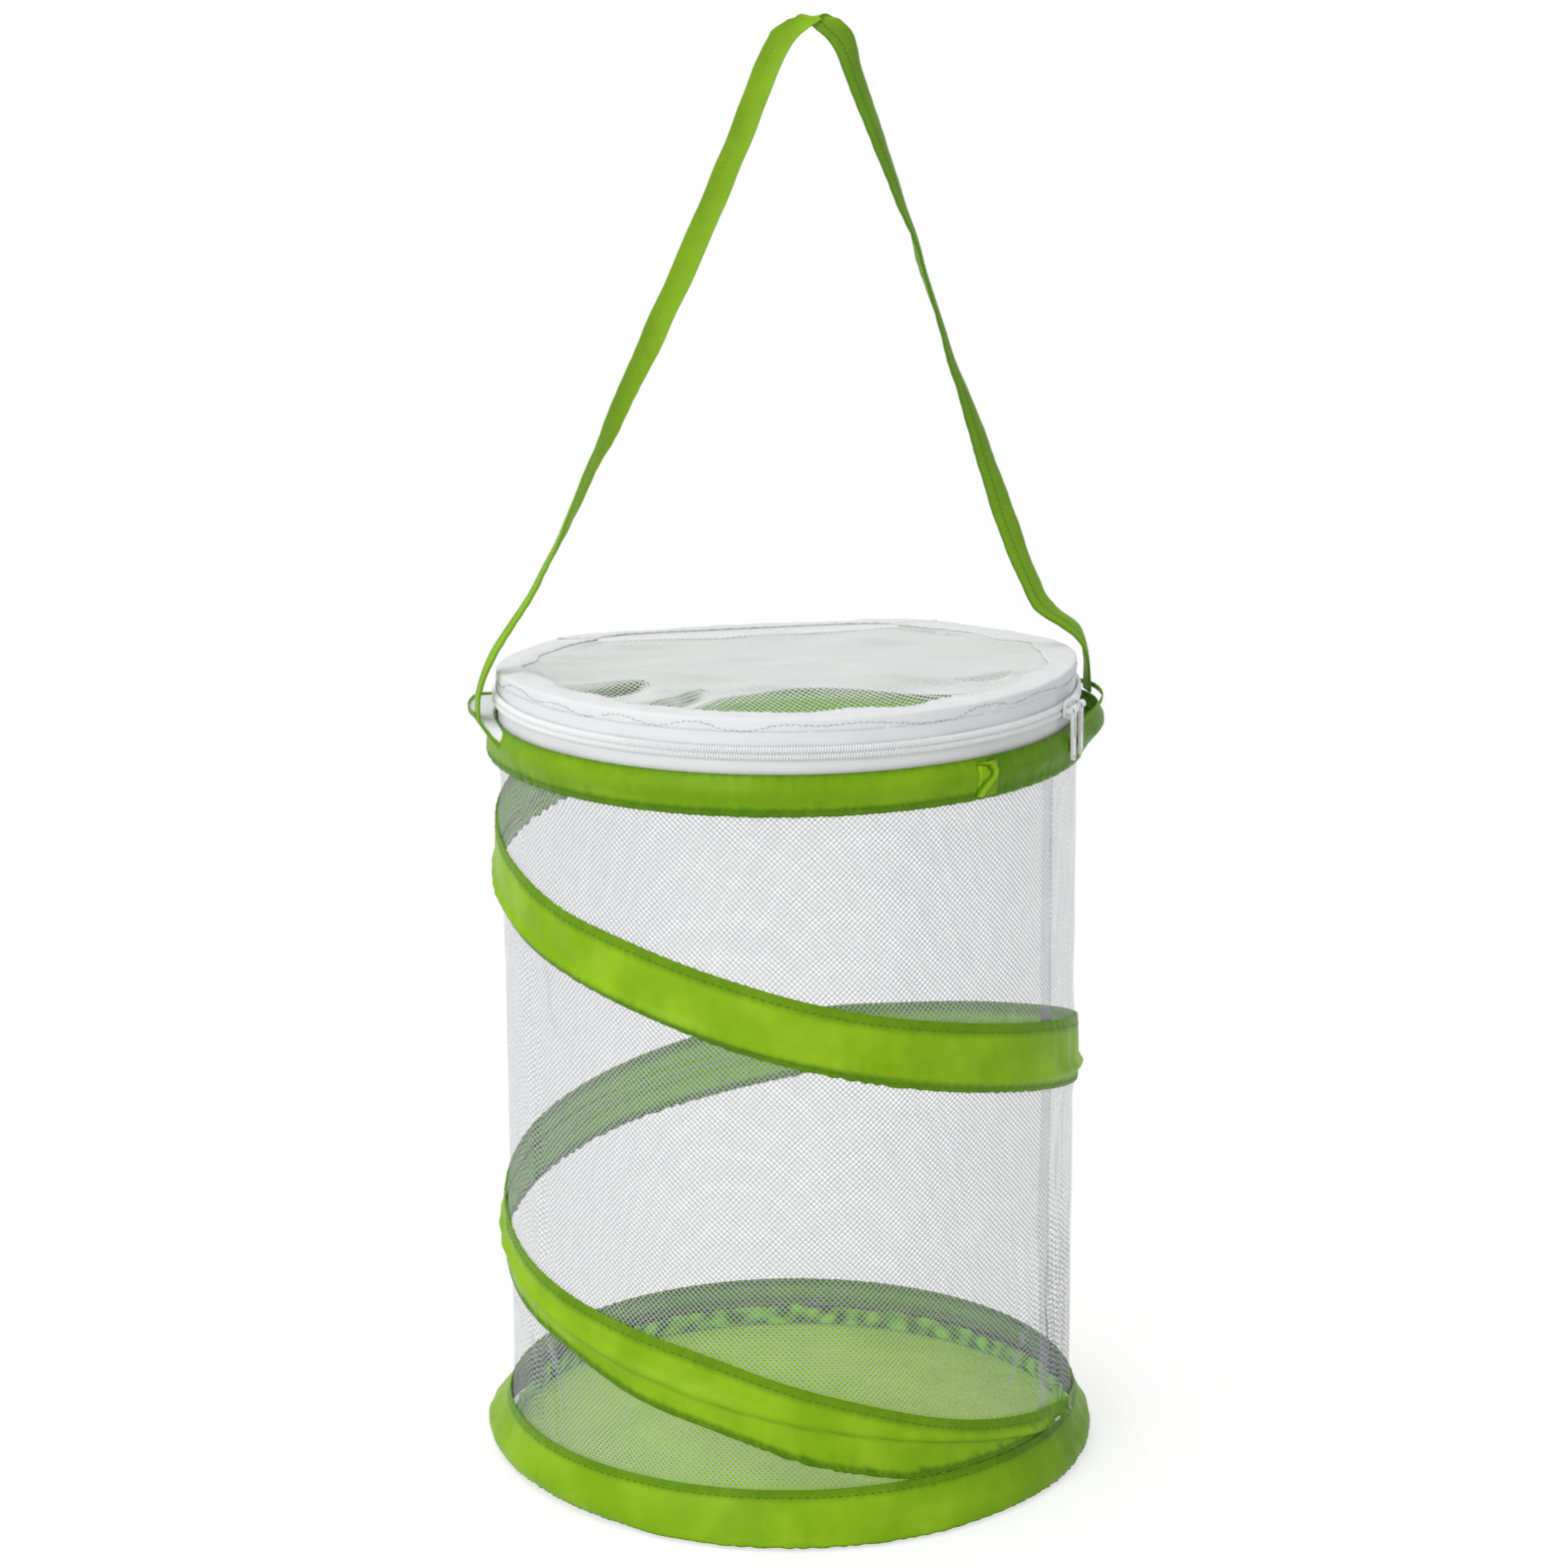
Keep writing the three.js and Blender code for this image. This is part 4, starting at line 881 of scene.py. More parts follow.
def along_section(section, down):
    """Points of an upright section at shares of its length, on a smooth curve through its corners."""
    corners = np.array(section, float)
    steps = np.r_[0, np.cumsum(np.hypot(*np.diff(corners, axis=0).T))]
    fine = np.linspace(0, steps[-1], 240)
    curve = np.stack([np.interp(fine, steps, corners[:, k]) for k in (0, 1)], -1)
    core = np.hanning(31) / np.hanning(31).sum()
    padded = np.pad(curve, ((15, 15), (0, 0)), mode="reflect", reflect_type="odd")
    soft = np.stack([np.convolve(padded[:, k], core, "valid") for k in (0, 1)], -1)
    at = down * (len(fine) - 1)
    points = np.stack([np.interp(at, np.arange(len(fine)), soft[:, k]) for k in (0, 1)], -1)
    ahead = np.stack([np.interp(np.minimum(at + 1, len(fine) - 1), np.arange(len(fine)), soft[:, k]) for k in (0, 1)], -1)
    back = np.stack([np.interp(np.maximum(at - 1, 0), np.arange(len(fine)), soft[:, k]) for k in (0, 1)], -1)
    way = ahead - back
    way /= np.linalg.norm(way, axis=1)[:, None]
    return points, np.stack([-way[:, 1], way[:, 0]], -1), steps[-1]


def hooped_rule(section, seed, strength, spread=None):
    def rule(across, down):
        angle = 360 * across
        points, out, depth = along_section(section, down)
        length = 2 * math.pi * section[0][0]
        closing = smooth(across, 0, 0.02) * (1 - smooth(across, 0.98, 1))
        relief = strength * band_relief(seed, across * length, down, depth, length) * closing
        wider = spread(angle, down) if spread else 0
        return around(angle, points[:, 0] + out[:, 0] * relief + wider, points[:, 1] + out[:, 1] * relief)
    return rule


def hooped_hems_and_shade(section, seed, top_hem, low_hem, deeper=None):
    def doubled_or_shaded(across, down):
        _, _, depth = along_section(section, np.array([0.0, 1.0]))
        along = across * 2 * math.pi * section[0][0]
        upper, low, patches = hem_shade(seed, along, down * depth, (1 - down) * depth, top_hem, low_hem)
        # The extra depth is painted shade on the base's right side, and on the rim partly its lapped end and partly
        # painted shade.
        whole = deeper(across) if deeper else 0
        return np.clip(0.7 * upper + 0.8 * low + 0.25 * patches + whole, 0, 1)
    return doubled_or_shaded


# %% Rim sleeve
RIM_LENGTH = 2 * math.pi * LIP_RADIUS
rim_section = [
    (LIP_RADIUS, CAGE_HEIGHT), (LIP_RADIUS + 0.9, CAGE_HEIGHT - 3.2), (CROWN_RADIUS + 0.05, CAGE_HEIGHT - 4.9),
    (CROWN_RADIUS + 0.05, CAGE_HEIGHT - 7.1), (LIP_RADIUS + 0.8, CAGE_HEIGHT - 9.6), (LIP_RADIUS, RIM_BOTTOM),
]


def near(angle, middle, half):
    """1 at the middle and 0 from half degrees away, with a round shape between."""
    away = (angle - middle + 180) % 360 - 180
    return np.cos(np.clip(away / half, -1, 1) * math.pi / 2) ** 2


def rim_spread(angle, down):
    """The sleeve's lower edge flares at both sides, and the strap pulls it out at the right."""
    flare = (2.4 * near(angle, 169, 34) + 1.6 * near(angle, -11, 40)) * smooth(down, 0.3, 0.95)
    return flare + 7.4 * near(angle, -7, 21) * (1 - smooth(down, 0.5, 0.98))


rim_rule = hooped_rule(rim_section, 61, 0.75, rim_spread)


def rim_lap_and_shade(across):
    """Deeper all round, and more from the tuck rightwards: lapped cloth with painted shade."""
    lapped = np.where(across > 0.5, smooth(across, 0.829, 0.832), 1 - smooth(across, 0.03, 0.2))
    return 0.4 + 0.5 * lapped


rim_cloth = thicken(
    piece(
        "rim_cloth", bend((760, 18), (RIM_LENGTH, 16), rim_rule, hooped_hems_and_shade(rim_section, 62, 0.3, 3.2, rim_lap_and_shade), ring=True),
        sleeve_nylon, "rim",
    ), 0.35,
)
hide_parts("rim_sleeve")
rim_seam = stitch_row("rim_stitches_low", rim_rule, outward, level_row(RIM_LENGTH, 2.9, 0.86), 2.0, green_thread, "rim")

# %% Base sleeve
HOOP_BULGE = [
    (0, 0.2), (40, 0), (140, 0.3), (155, 2.2), (166, 3.3), (174, 1.8), (186, 0.6), (200, 0), (230, 0.3), (250, 1.6), (270, 1.9),
    (286, 1.5), (300, 0.4), (324, 0.6), (348, 0.3), (360, 0.2),
]
FOOT_RADIUS = [
    (0, 109.6), (140, 109.6), (160, 111), (178, 110), (200, 107.7), (214, 107.8), (225, 109), (234, 111.6), (243, 112.5),
    (250, 113.2), (270, 113.4), (286, 112.9), (295, 111.4), (306, 110.6), (320, 110.5), (340, 109.8), (360, 109.6),
]
base_section = [
    (LIP_RADIUS, SLEEVE_HEAD), (LIP_RADIUS + 0.9, SLEEVE_HEAD - 4.0), (109.2, 10.4), (111.2, 7.8), (111.8, 5.6), (111.5, 3.2),
    (110.2, 1.3), (108.6, 0.9),
]


def base_spread(angle, down):
    """The sleeve stands out over the hoop and rests on the table, more in some places than in others."""
    bulge = np.interp(angle, *np.array(HOOP_BULGE).T)
    foot = np.interp(angle, *np.array(FOOT_RADIUS).T) - base_section[-1][0] - bulge
    return bulge * smooth(down, 0.12, 0.5) + foot * smooth(down, 0.66, 0.98)


BASE_LENGTH = 2 * math.pi * LIP_RADIUS
base_rule = hooped_rule(base_section, 71, 0.7, base_spread)


def base_right_painted_shade(across):
    """A little deeper all round, and painted shade on the right side, away from the key lamp."""
    return 0.1 + 0.5 * smooth(across, 0.8, 0.92) + 0.5 * (1 - smooth(across, 0.02, 0.12))


base_cloth = thicken(
    piece(
        "base_cloth", bend((760, 28), (BASE_LENGTH, 23), base_rule, hooped_hems_and_shade(base_section, 72, 3.0, 2.0, base_right_painted_shade), ring=True),
        sleeve_nylon, "base",
    ), 0.35,
)
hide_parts("base_sleeve")
base_seams = [
    stitch_row("base_stitches_top", base_rule, outward, level_row(BASE_LENGTH, 2.9, 0.13), 2.0, green_thread, "base"),
    stitch_row("base_stitches_low", base_rule, outward, level_row(BASE_LENGTH, 2.9, 0.9), 2.0, green_thread, "base"),
]

# %% Floor and its hem
FLOOR_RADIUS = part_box("floor_panel")[1].x / MM
FLOOR_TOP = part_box("floor_panel")[1].z / MM
hem_foot, hem_head = (corner.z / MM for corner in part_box("floor_hem"))
HEM_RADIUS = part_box("floor_hem")[1].x / MM


def floor_rule(across, down):
    radius = FLOOR_RADIUS * down
    x, y = radius * np.cos(np.radians(360 * across)), radius * np.sin(np.radians(360 * across))
    wrinkle = 0.10 * ripple(81, x, y, 34) + 0.05 * ripple(82, x, y, 12)
    calm = 1 - smooth(radius, 88, 100)
    height = FLOOR_TOP - 0.12 + calm * (0.10 + wrinkle)
    return np.stack([x, y, np.minimum(height, FLOOR_TOP + 0.25)], -1) * MM


floor_cloth = thicken(
    piece("floor_cloth", bend((144, 40), (2 * math.pi * 60, FLOOR_RADIUS), floor_rule, ring=True, upward=True), floor_nylon, "base"),
    0.55,
)
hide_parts("floor_panel")


def hem_rule(across, down):
    angle = 360 * across
    along = across * 2 * math.pi * HEM_RADIUS
    closing = smooth(across, 0, 0.02) * (1 - smooth(across, 0.98, 1))
    crumple = (0.5 + 0.5 * ripple(91, along, down * 9, 8)) * closing
    sag = (0.5 + 0.5 * ripple(92, along, 0 * down, 15)) * closing
    height = hem_head - (1 - down) * (hem_head - hem_foot) - 1.4 * down * np.clip(sag, 0, 1)
    return around(angle, HEM_RADIUS - 0.1 - 1.1 * np.clip(crumple, 0, 1) * smooth(down, 0.05, 0.5), height)


# The turned-up hem gets the floor's deep green in blotches: its doubled cloth, with painted shade where floor meets
# wall.
def floor_hem_depth_and_shade(across, down):
    along = across * 2 * math.pi * HEM_RADIUS
    return np.clip(0.55 + 0.5 * ripple(93, along, down * 8, 9), 0, 1)


floor_binding = thicken(
    piece("floor_binding", bend((520, 9), (660, 8), hem_rule, floor_hem_depth_and_shade, ring=True), floor_nylon, "base"), 0.4,
)
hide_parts("floor_hem")

# %% [markdown]
# ## The zip
# Two woven tapes stand round the rim, each with a nylon coil sewn along its edge. One loop of the
# coil is half of a ring, made by spinning a small circle, and the same spin operator then copies
# it round the cage, a loop every millimetre and a quarter.

# %% Tapes

TAPE_RADIUS = HEM_RADIUS
TAPE_THICKNESS = 0.5
ZIP_END = 45
LEFT_END = -180 - ZIP_END
ZIP_LINE = CAGE_HEIGHT + 7.2
TAPE_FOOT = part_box("zip_tape_lower")[0].z / MM
FOLD_LINE = TAPE_RADIUS * math.sin(math.radians(ZIP_END))
LID_TOP, LID_FALL = CAGE_HEIGHT + 18, 6


def lid_level(y):
    """The lid's smooth height, which is level in front and lower at the fold."""
    return LID_TOP - LID_FALL * smooth(y, -FOLD_LINE / 2, FOLD_LINE)


def lid_edge(angle):
    return lid_level(TAPE_RADIUS * np.sin(np.radians(angle)))


def upright_rule(first, last, radius, top_of, bottom, seed):
    """A band that stands round the rim; top_of gives its upper edge at each angle."""
    def rule(across, down):
        angle = first + (last - first) * across
        top = top_of(angle)
        height = top + (bottom - top) * down
        sway = 0.14 * ripple(seed, across * 480, height * 2, 26)
        return around(angle, radius - 0.06 + np.clip(sway, -0.3, 0.06), height)
    return rule


def tape(name, node, first, last, radius, top_of, bottom, body, material, cells=(330, 7)):
    length = math.radians(last - first) * radius
    rule = upright_rule(first, last, radius, top_of, bottom, 101)
    high = float(np.max(top_of(np.linspace(first, last, 40))))
    made = piece(name, bend(cells, (length, high - bottom), rule), material, body)
    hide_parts(node)
    return thicken(made, TAPE_THICKNESS)


lower_tape = tape(
    "zip_tape_low", "zip_tape_lower", LEFT_END, ZIP_END, TAPE_RADIUS,
    lambda a: ZIP_LINE - 0.1 + 0 * a, TAPE_FOOT, "rim", zip_tape,
)
upper_tape = tape(
    "zip_tape_high", "zip_tape_upper", LEFT_END + 1.5, ZIP_END - 1.5, TAPE_RADIUS,
    lambda a: lid_edge(a) + 0.2, ZIP_LINE + 0.1, "lid", zip_tape,
)

# %% Coils
LOOP_PITCH = 0.95
COIL_ROOT = TAPE_RADIUS + 0.3
LOOP_TUBE = 0.46
LOOP_HALF = 0.98
COIL_MARGIN = 3


def coil(name, node, side, body):
    """Half rings copied round the cage, on the tape's outer face."""
    middle = Vector((COIL_ROOT, 0, ZIP_LINE + side * (LOOP_HALF + LOOP_TUBE - 0.28))) * MM
    bm = bmesh.new()
    stand = Matrix.Translation(middle - Vector((0, 0, LOOP_HALF * MM))) @ Matrix.Rotation(math.pi / 2, 4, "Y")
    bmesh.ops.create_circle(bm, cap_ends=False, radius=LOOP_TUBE * MM, segments=6, matrix=stand)
    bmesh.ops.spin(
        bm, geom=bm.verts[:] + bm.edges[:], cent=middle, axis=(0, -1, 0), dvec=(0, 0, 0), angle=math.pi,
        steps=6, use_merge=False, use_duplicate=False,
    )
    bmesh.ops.holes_fill(bm, edges=bm.edges[:], sides=6)
    bmesh.ops.recalc_face_normals(bm, faces=bm.faces)
    bmesh.ops.scale(bm, vec=(1.12, 1, 1), space=Matrix.Translation(-middle), verts=bm.verts)
    first = math.radians(LEFT_END + COIL_MARGIN) + (side + 1) / 4 * LOOP_PITCH / COIL_ROOT
    bmesh.ops.rotate(bm, cent=(0, 0, 0), matrix=Matrix.Rotation(first, 3, "Z"), verts=bm.verts)
    span = math.radians(ZIP_END - LEFT_END - 2 * COIL_MARGIN)
    count = int(span * COIL_ROOT / LOOP_PITCH)
    bmesh.ops.spin(
        bm, geom=bm.verts[:] + bm.edges[:] + bm.faces[:], cent=(0, 0, 0), axis=(0, 0, 1), dvec=(0, 0, 0),
        angle=span, steps=count, use_merge=False, use_duplicate=True,
    )
    made = piece(name, bm, coil_nylon, body)
    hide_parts(node)
    return made


lower_coil = coil("zip_coil_low", "zip_coil_lower", -1, "rim")
upper_coil = coil("zip_coil_high", "zip_coil_upper", 1, "lid")

# %% [markdown]
# ## The lid
# The lid's net is near the eye and seen at a low angle, where real net closes up because its
# threads hide its holes. So here the threads are real: a grid of diamonds becomes a lattice with
# a Wireframe modifier. Where the net dips and rises towards the eye, its holes open again.

# %% Lid surface
HEM_INNER = TAPE_RADIUS - 11.5
DIPS = [
    (-6, -50, 62, -31, 16, 7.0, 0),
    (-62, -62, 34, 0, 7, 3.2, 46),
    (-80, -22, 22, -8, 13, 5.2, 24),
    (56, -70, 14, -6, 8, 3.4, 22),
    (62, -44, 12, 0, 4, 1.5, 10),
]


def lid_surface(x, y):
    """Height of the lid's net in millimetres: level, with soft waves and a few dips.

    A dip has its crest's middle, half length, bow and turn, and the run and depth of the steep
    face below the crest, which faces the front and shows its open holes."""
    inset = np.minimum(HEM_INNER - 1 - np.hypot(x, y), FOLD_LINE - 1.2 - y)
    calm = smooth(inset, 0, 5)
    drop = 0 * x
    for crest_x, crest_y, half, bow, run, depth, turned in DIPS:
        c, s = math.cos(math.radians(turned)), math.sin(math.radians(turned))
        u = ((x - crest_x) * c + (y - crest_y) * s) / half
        size = np.clip(1 - u * u, 1e-3, 1) ** 0.6
        below = (bow * u * u + (x - crest_x) * s - (y - crest_y) * c) / (run * size)
        face = np.clip(np.minimum(below, 1 - smooth(below, 1, 3.2)), 0, 1)
        drop = np.maximum(drop, depth * size * face * (np.abs(u) < 1))
    waves = 0.45 * ripple(111, x, y, 44) + 0.2 * ripple(112, x * 0.6, y, 17)
    sag = 0.8 * (1 - (x * x + y * y) / TAPE_RADIUS ** 2)
    return lid_level(y) - calm * np.clip(drop + waves + sag + 0.4, -0.6, 8)


# %% Lid net
DIAMOND = 2.2
YARN = 0.52
NET_REACH = 97.2


def net_lattice(reach, low_y, high_y, height_of):
    """A flat grid of diamonds inside a circle and between two lines, raised to a height."""
    cells = 2 * math.ceil(reach * math.sqrt(2) / DIAMOND) + 2
    half = cells / 2 * DIAMOND / math.sqrt(2) * MM
    bm = bmesh.new()
    bmesh.ops.create_grid(bm, x_segments=cells, y_segments=cells, size=half, matrix=Matrix.Rotation(math.pi / 4, 4, "Z"))
    for edge_y, way in ((high_y, 1), (low_y, -1)):
        bmesh.ops.bisect_plane(
            bm, geom=bm.verts[:] + bm.edges[:] + bm.faces[:], dist=1e-7, plane_co=(0, edge_y * MM, 0),
            plane_no=(0, way, 0), clear_outer=True,
        )
    outside = [v for v in bm.verts if math.hypot(v.co.x, v.co.y) > reach * MM]
    bmesh.ops.delete(bm, geom=outside, context="VERTS")
    flat = np.array([v.co for v in bm.verts])
    for vert, height in zip(bm.verts, height_of(flat[:, 0] / MM, flat[:, 1] / MM)):
        vert.co.z = height * MM
    return bm


def knit(made, finer=None):
    """Turn each edge of a lattice into a thread; finer gives each point its share of the full width."""
    net = made.modifiers.new("threads", "WIREFRAME")
    net.thickness = YARN * MM
    net.use_even_offset = False
    net.use_boundary = True
    net.offset = 0
    if finer is not None:
        widths = made.vertex_groups.new(name="thread_width")
        for number, share in enumerate(finer):
            widths.add([number], float(share), "REPLACE")
        net.vertex_group = "thread_width"
        net.thickness_vertex_group = 0.0
    return made


lid_net = piece("lid_net", net_lattice(NET_REACH, -200, FOLD_LINE - 0.4, lid_surface), lid_yarn, "lid")
lid_points = np.array([v.co for v in lid_net.data.vertices]) / MM
dipped = lid_level(lid_points[:, 1]) - lid_points[:, 2]
knit(lid_net, 1.04 - 0.42 * smooth(dipped, 2.2, 3.6))
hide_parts("lid_mesh")

# %% Lid hem
HEM_THICKNESS = 0.5
HEM_LIFT = 0.5
HEM_WAVE, HEM_WAVES = 1.0, 13
HEM_LENGTH = math.radians(2 * ZIP_END + 177) * TAPE_RADIUS


HEM_TURN = 0.74


def hem_section(angle, along, down, inner, level, seed, reach):
    """Points of a hem that lies on the net, rolls over the rim and reaches down outside it."""
    flat = TAPE_RADIUS - 0.5
    past = np.clip((down - HEM_TURN) / (1 - HEM_TURN), 0, 1)
    roll = np.clip(past / 0.4, 0, 1) * math.pi / 2
    radius = inner + (flat - inner) * np.clip(down / HEM_TURN, 0, 1) + 0.62 * np.sin(roll)
    fall = 0.9 * (1 - np.cos(roll)) + (reach - 0.9) * np.clip((past - 0.4) / 0.6, 0, 1)
    puff = np.sin(math.pi * np.clip(down / 0.85, 0, 1)) * (0.3 * ripple(seed, along, down * 9, 13) + 0.24)
    pucker = 0.2 * np.sin(2 * math.pi * along / 5.2 + 2 * ripple(seed + 1, along, 0 * along, 20)) * np.exp(-down * 5)
    top = level + HEM_LIFT + HEM_THICKNESS + np.maximum(puff + pucker, -0.05)
    return around(angle, radius + 0.12 * past * ripple(seed + 2, along, 0 * along, 8), top - fall)


def hem_reach(angle):
    """How far the hem comes down outside the tape: less at the back, where the lid is lower."""
    return np.clip(lid_edge(angle) - ZIP_LINE - 3.2, 1.6, 4.6)


def lid_hem_rule(across, down):
    radius = HEM_INNER + (TAPE_RADIUS - HEM_INNER) * np.clip(down / HEM_TURN, 0, 1)
    end = np.degrees(np.arcsin((FOLD_LINE - 0.4) / radius))
    angle = -180 - end + (180 + 2 * end) * across
    along = across * HEM_LENGTH
    wave = HEM_WAVE * np.sin(np.radians(HEM_WAVES * angle)) + 1.5 * ripple(121, along, 0 * along, 30)
    inner = HEM_INNER + np.clip(wave, -3.6, 2.6)
    return hem_section(angle, along, down, inner, lid_edge(angle), 122, hem_reach(angle))


lid_hem = thicken(
    piece("lid_hem_cloth", bend((560, 20), (490, 15), lid_hem_rule), hem_cloth, "lid"), HEM_THICKNESS,
)
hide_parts("lid_hem")
leg_low, leg_high = (corner.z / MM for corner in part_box("lid_hem_leg"))
hem_leg = tape(
    "lid_hem_fold", "lid_hem_leg", LEFT_END + 1.5, ZIP_END - 1.5, TAPE_RADIUS - 0.8,
    lambda a: np.maximum(lid_edge(a) + 0.2, leg_low + 0.5), leg_low, "lid", hem_cloth, (240, 4),
)


def hem_face_rule(across, down):
    angle = LEFT_END + 1.5 + (ZIP_END - LEFT_END - 3) * across
    reach = hem_reach(angle)
    wave = 0.34 * reach * np.clip(ripple(128, across * HEM_LENGTH, 0 * across, 34), -0.9, 0.9)
    return around(angle, TAPE_RADIUS + 0.14, lid_edge(angle) + 1 - 0.62 * reach + wave)


hem_places = [(share, 0.5) for share, _ in level_row(HEM_LENGTH, 2.1, 0)]
hem_seams = [
    stitch_row("hem_stitches_grey", hem_face_rule, outward, hem_places, 2.1, grey_thread, "lid", slant=0.3, width=0.36),
    stitch_row(
        "hem_stitches_white", lid_hem_rule, lambda points: np.tile((0.0, 0.0, 1.0), (len(points), 1)),
        level_row(HEM_LENGTH, 2.8, 0.12), 2.0, white_thread, "lid", width=0.4,
    ),
]

# %% Fold and the panel behind it
PANEL_LEVEL = LID_TOP - LID_FALL
PANEL_SAG = 4.2


def panel_level(y):
    """The panel behind the fold sags a little towards the back of the rim."""
    return PANEL_LEVEL - PANEL_SAG * smooth(y, FOLD_LINE, TAPE_RADIUS)


rear_net = knit(
    piece(
        "rear_net", net_lattice(NET_REACH, FOLD_LINE + 0.5, 200, lambda x, y: panel_level(y)), lid_yarn, "rim",
    )
)
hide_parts("rear_panel")


def rear_hem_rule(across, down):
    angle = ZIP_END + 0.4 + (179.2 - 2 * ZIP_END) * across
    inner = np.clip((FOLD_LINE + 0.3) / np.sin(np.radians(angle)), HEM_INNER, TAPE_RADIUS - 0.9)
    y = (inner + (TAPE_RADIUS - inner) * down) * np.sin(np.radians(angle))
    return hem_section(angle, across * 158, down, inner, panel_level(y), 131, 1.8)


rear_hem = thicken(
    piece("rear_hem_cloth", bend((180, 12), (158, 12), rear_hem_rule), hem_cloth, "rim"), HEM_THICKNESS,
)
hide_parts("rear_hem")
rear_band = tape(
    "rear_band_cloth", "rear_band", ZIP_END + 0.75, 179.25 - ZIP_END, TAPE_RADIUS,
    lambda a: panel_level(TAPE_RADIUS * np.sin(np.radians(a))) - 0.5, TAPE_FOOT, "rim", hem_cloth, (110, 8),
)


FOLD_CUT = 7.5


def fold_rule(across, down):
    half = math.sqrt(HEM_INNER ** 2 - FOLD_LINE ** 2) + 1.5
    x = half * (2 * across - 1)
    y = FOLD_LINE - 0.6 * FOLD_CUT + FOLD_CUT * down
    level = np.where(y < FOLD_LINE, lid_surface(x, y), panel_level(y))
    lift = 0.34 + 0.22 * np.sin(math.pi * down)
    return np.stack([x, y, level + lift + 0.06 * ripple(141, x, y, 9)], -1) * MM


fold_binding = thicken(
    piece("fold_binding", bend((90, 12), (115, FOLD_CUT), fold_rule, upward=True), hem_cloth), 0.3,
)
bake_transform(fold_binding)

# %% [markdown]
# ## The strap
# The strap is one length of folded webbing. Its middle line runs through a few measured points,
# and its width turns on the way: edge-on where it is sewn to the rim, flat higher up, and folded
# flat over itself at the top.

# %% Course of the strap
STRAP_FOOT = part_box("handle_strap")[0].z / MM
STRAP_RISE = 245.5
STRAP_WIDTH, STRAP_THICKNESS = 10, 1.2
STRAP_LIE = 1
STRAP_SEAM = -1.6
ROOT_RADIUS = 112.72
LEFT_LEG = [
    (-1, 0), (-0.996, 0.045), (-0.95, 0.094), (-0.79, 0.208), (-0.617, 0.371), (-0.479, 0.5), (-0.343, 0.627),
    (-0.214, 0.754), (-0.096, 0.88), (-0.044, 0.936), (0.01, 0.98), (0.072, 1),
]
RIGHT_LEG = [
    (1, 0), (0.998, 0.045), (0.982, 0.08), (0.94, 0.103), (0.88, 0.122), (0.826, 0.15), (0.77, 0.213), (0.698, 0.303),
    (0.602, 0.438), (0.529, 0.528), (0.438, 0.66), (0.372, 0.747), (0.308, 0.834), (0.246, 0.906), (0.198, 0.965), (0.13, 1),
]
LEFT_TURNS = [(0, 1), (0.2, 0.93), (0.29, 0.76), (0.37, 0.6), (0.46, 0.38), (0.54, 0.15), (0.65, 0), (1, 0)]
RIGHT_TURNS = [
    (0, 1), (0.06, 0.9), (0.1, 0.62), (0.17, 0.35), (0.26, 0.2), (0.35, 0.38), (0.44, 0.6), (0.53, 0.82), (0.66, 1),
    (0.75, 0.68), (0.85, 0.5), (0.94, 0.36), (1, 0),
]
STRAP_CUP = 1.1


def leg_course(shares, lie, count):
    """Middle points of a leg from its root to the top, on a smooth curve through its places."""
    places = np.array([(x * ROOT_RADIUS, lie * min(1, 2 * up), STRAP_FOOT + up * STRAP_RISE) for x, up in shares])
    places = np.vstack([2 * places[0] - places[1], places, 2 * places[-1] - places[-2]])
    at = np.linspace(0, len(shares) - 1, count)
    k = np.minimum(at.astype(int), len(shares) - 2)
    t = (at - k)[:, None]
    a, b, c, d = places[k], places[k + 1], places[k + 2], places[k + 3]
    return 0.5 * (2 * b + (c - a) * t + (2 * a - 5 * b + 4 * c - d) * t ** 2 + (3 * b - a - 3 * c + d) * t ** 3)


def leg_turns(points, left):
    """How far the width has turned from the strap's own plane, in quarter turns."""
    known = np.array(LEFT_TURNS if left else RIGHT_TURNS)
    return np.interp((points[:, 2] - STRAP_FOOT) / STRAP_RISE, known[:, 0], known[:, 1])


def directions(points):
    way = np.gradient(points, axis=0)
    return way / np.linalg.norm(way, axis=1)[:, None]


left_leg = leg_course(LEFT_LEG, -STRAP_LIE, 200)
right_leg = leg_course(RIGHT_LEG, STRAP_LIE, 240)[::-1]
fold_turn = np.linspace(0, math.pi, 14)[1:-1]
top = left_leg[-1]
over = np.stack([
    top[0] + (right_leg[0][0] - top[0]) * fold_turn / math.pi, -STRAP_LIE * np.cos(fold_turn), top[2] + STRAP_LIE * np.sin(fold_turn),
], -1)
strap_middle = np.vstack([left_leg, over, right_leg])
strap_way = directions(strap_middle)
level_way = np.vstack([directions(left_leg), np.zeros_like(over), directions(right_leg)])
turns = np.r_[leg_turns(left_leg, True), 0 * fold_turn, leg_turns(right_leg, False)] * math.pi / 2
lean = np.maximum(np.abs(level_way[:, 2]), math.sqrt(0.5))
lean[len(left_leg):len(left_leg) + len(over)] = 1
strap_side = np.stack([np.cos(turns) / lean, np.sin(turns), 0 * turns], -1)
strap_face = np.cross(strap_way, strap_side)
strap_face /= np.linalg.norm(strap_face, axis=1)[:, None]
strap_steps = np.r_[0, np.cumsum(np.linalg.norm(np.diff(strap_middle, axis=0), axis=1))]
STRAP_LENGTH = strap_steps[-1]
print("strap", round(STRAP_LENGTH), "mm long")


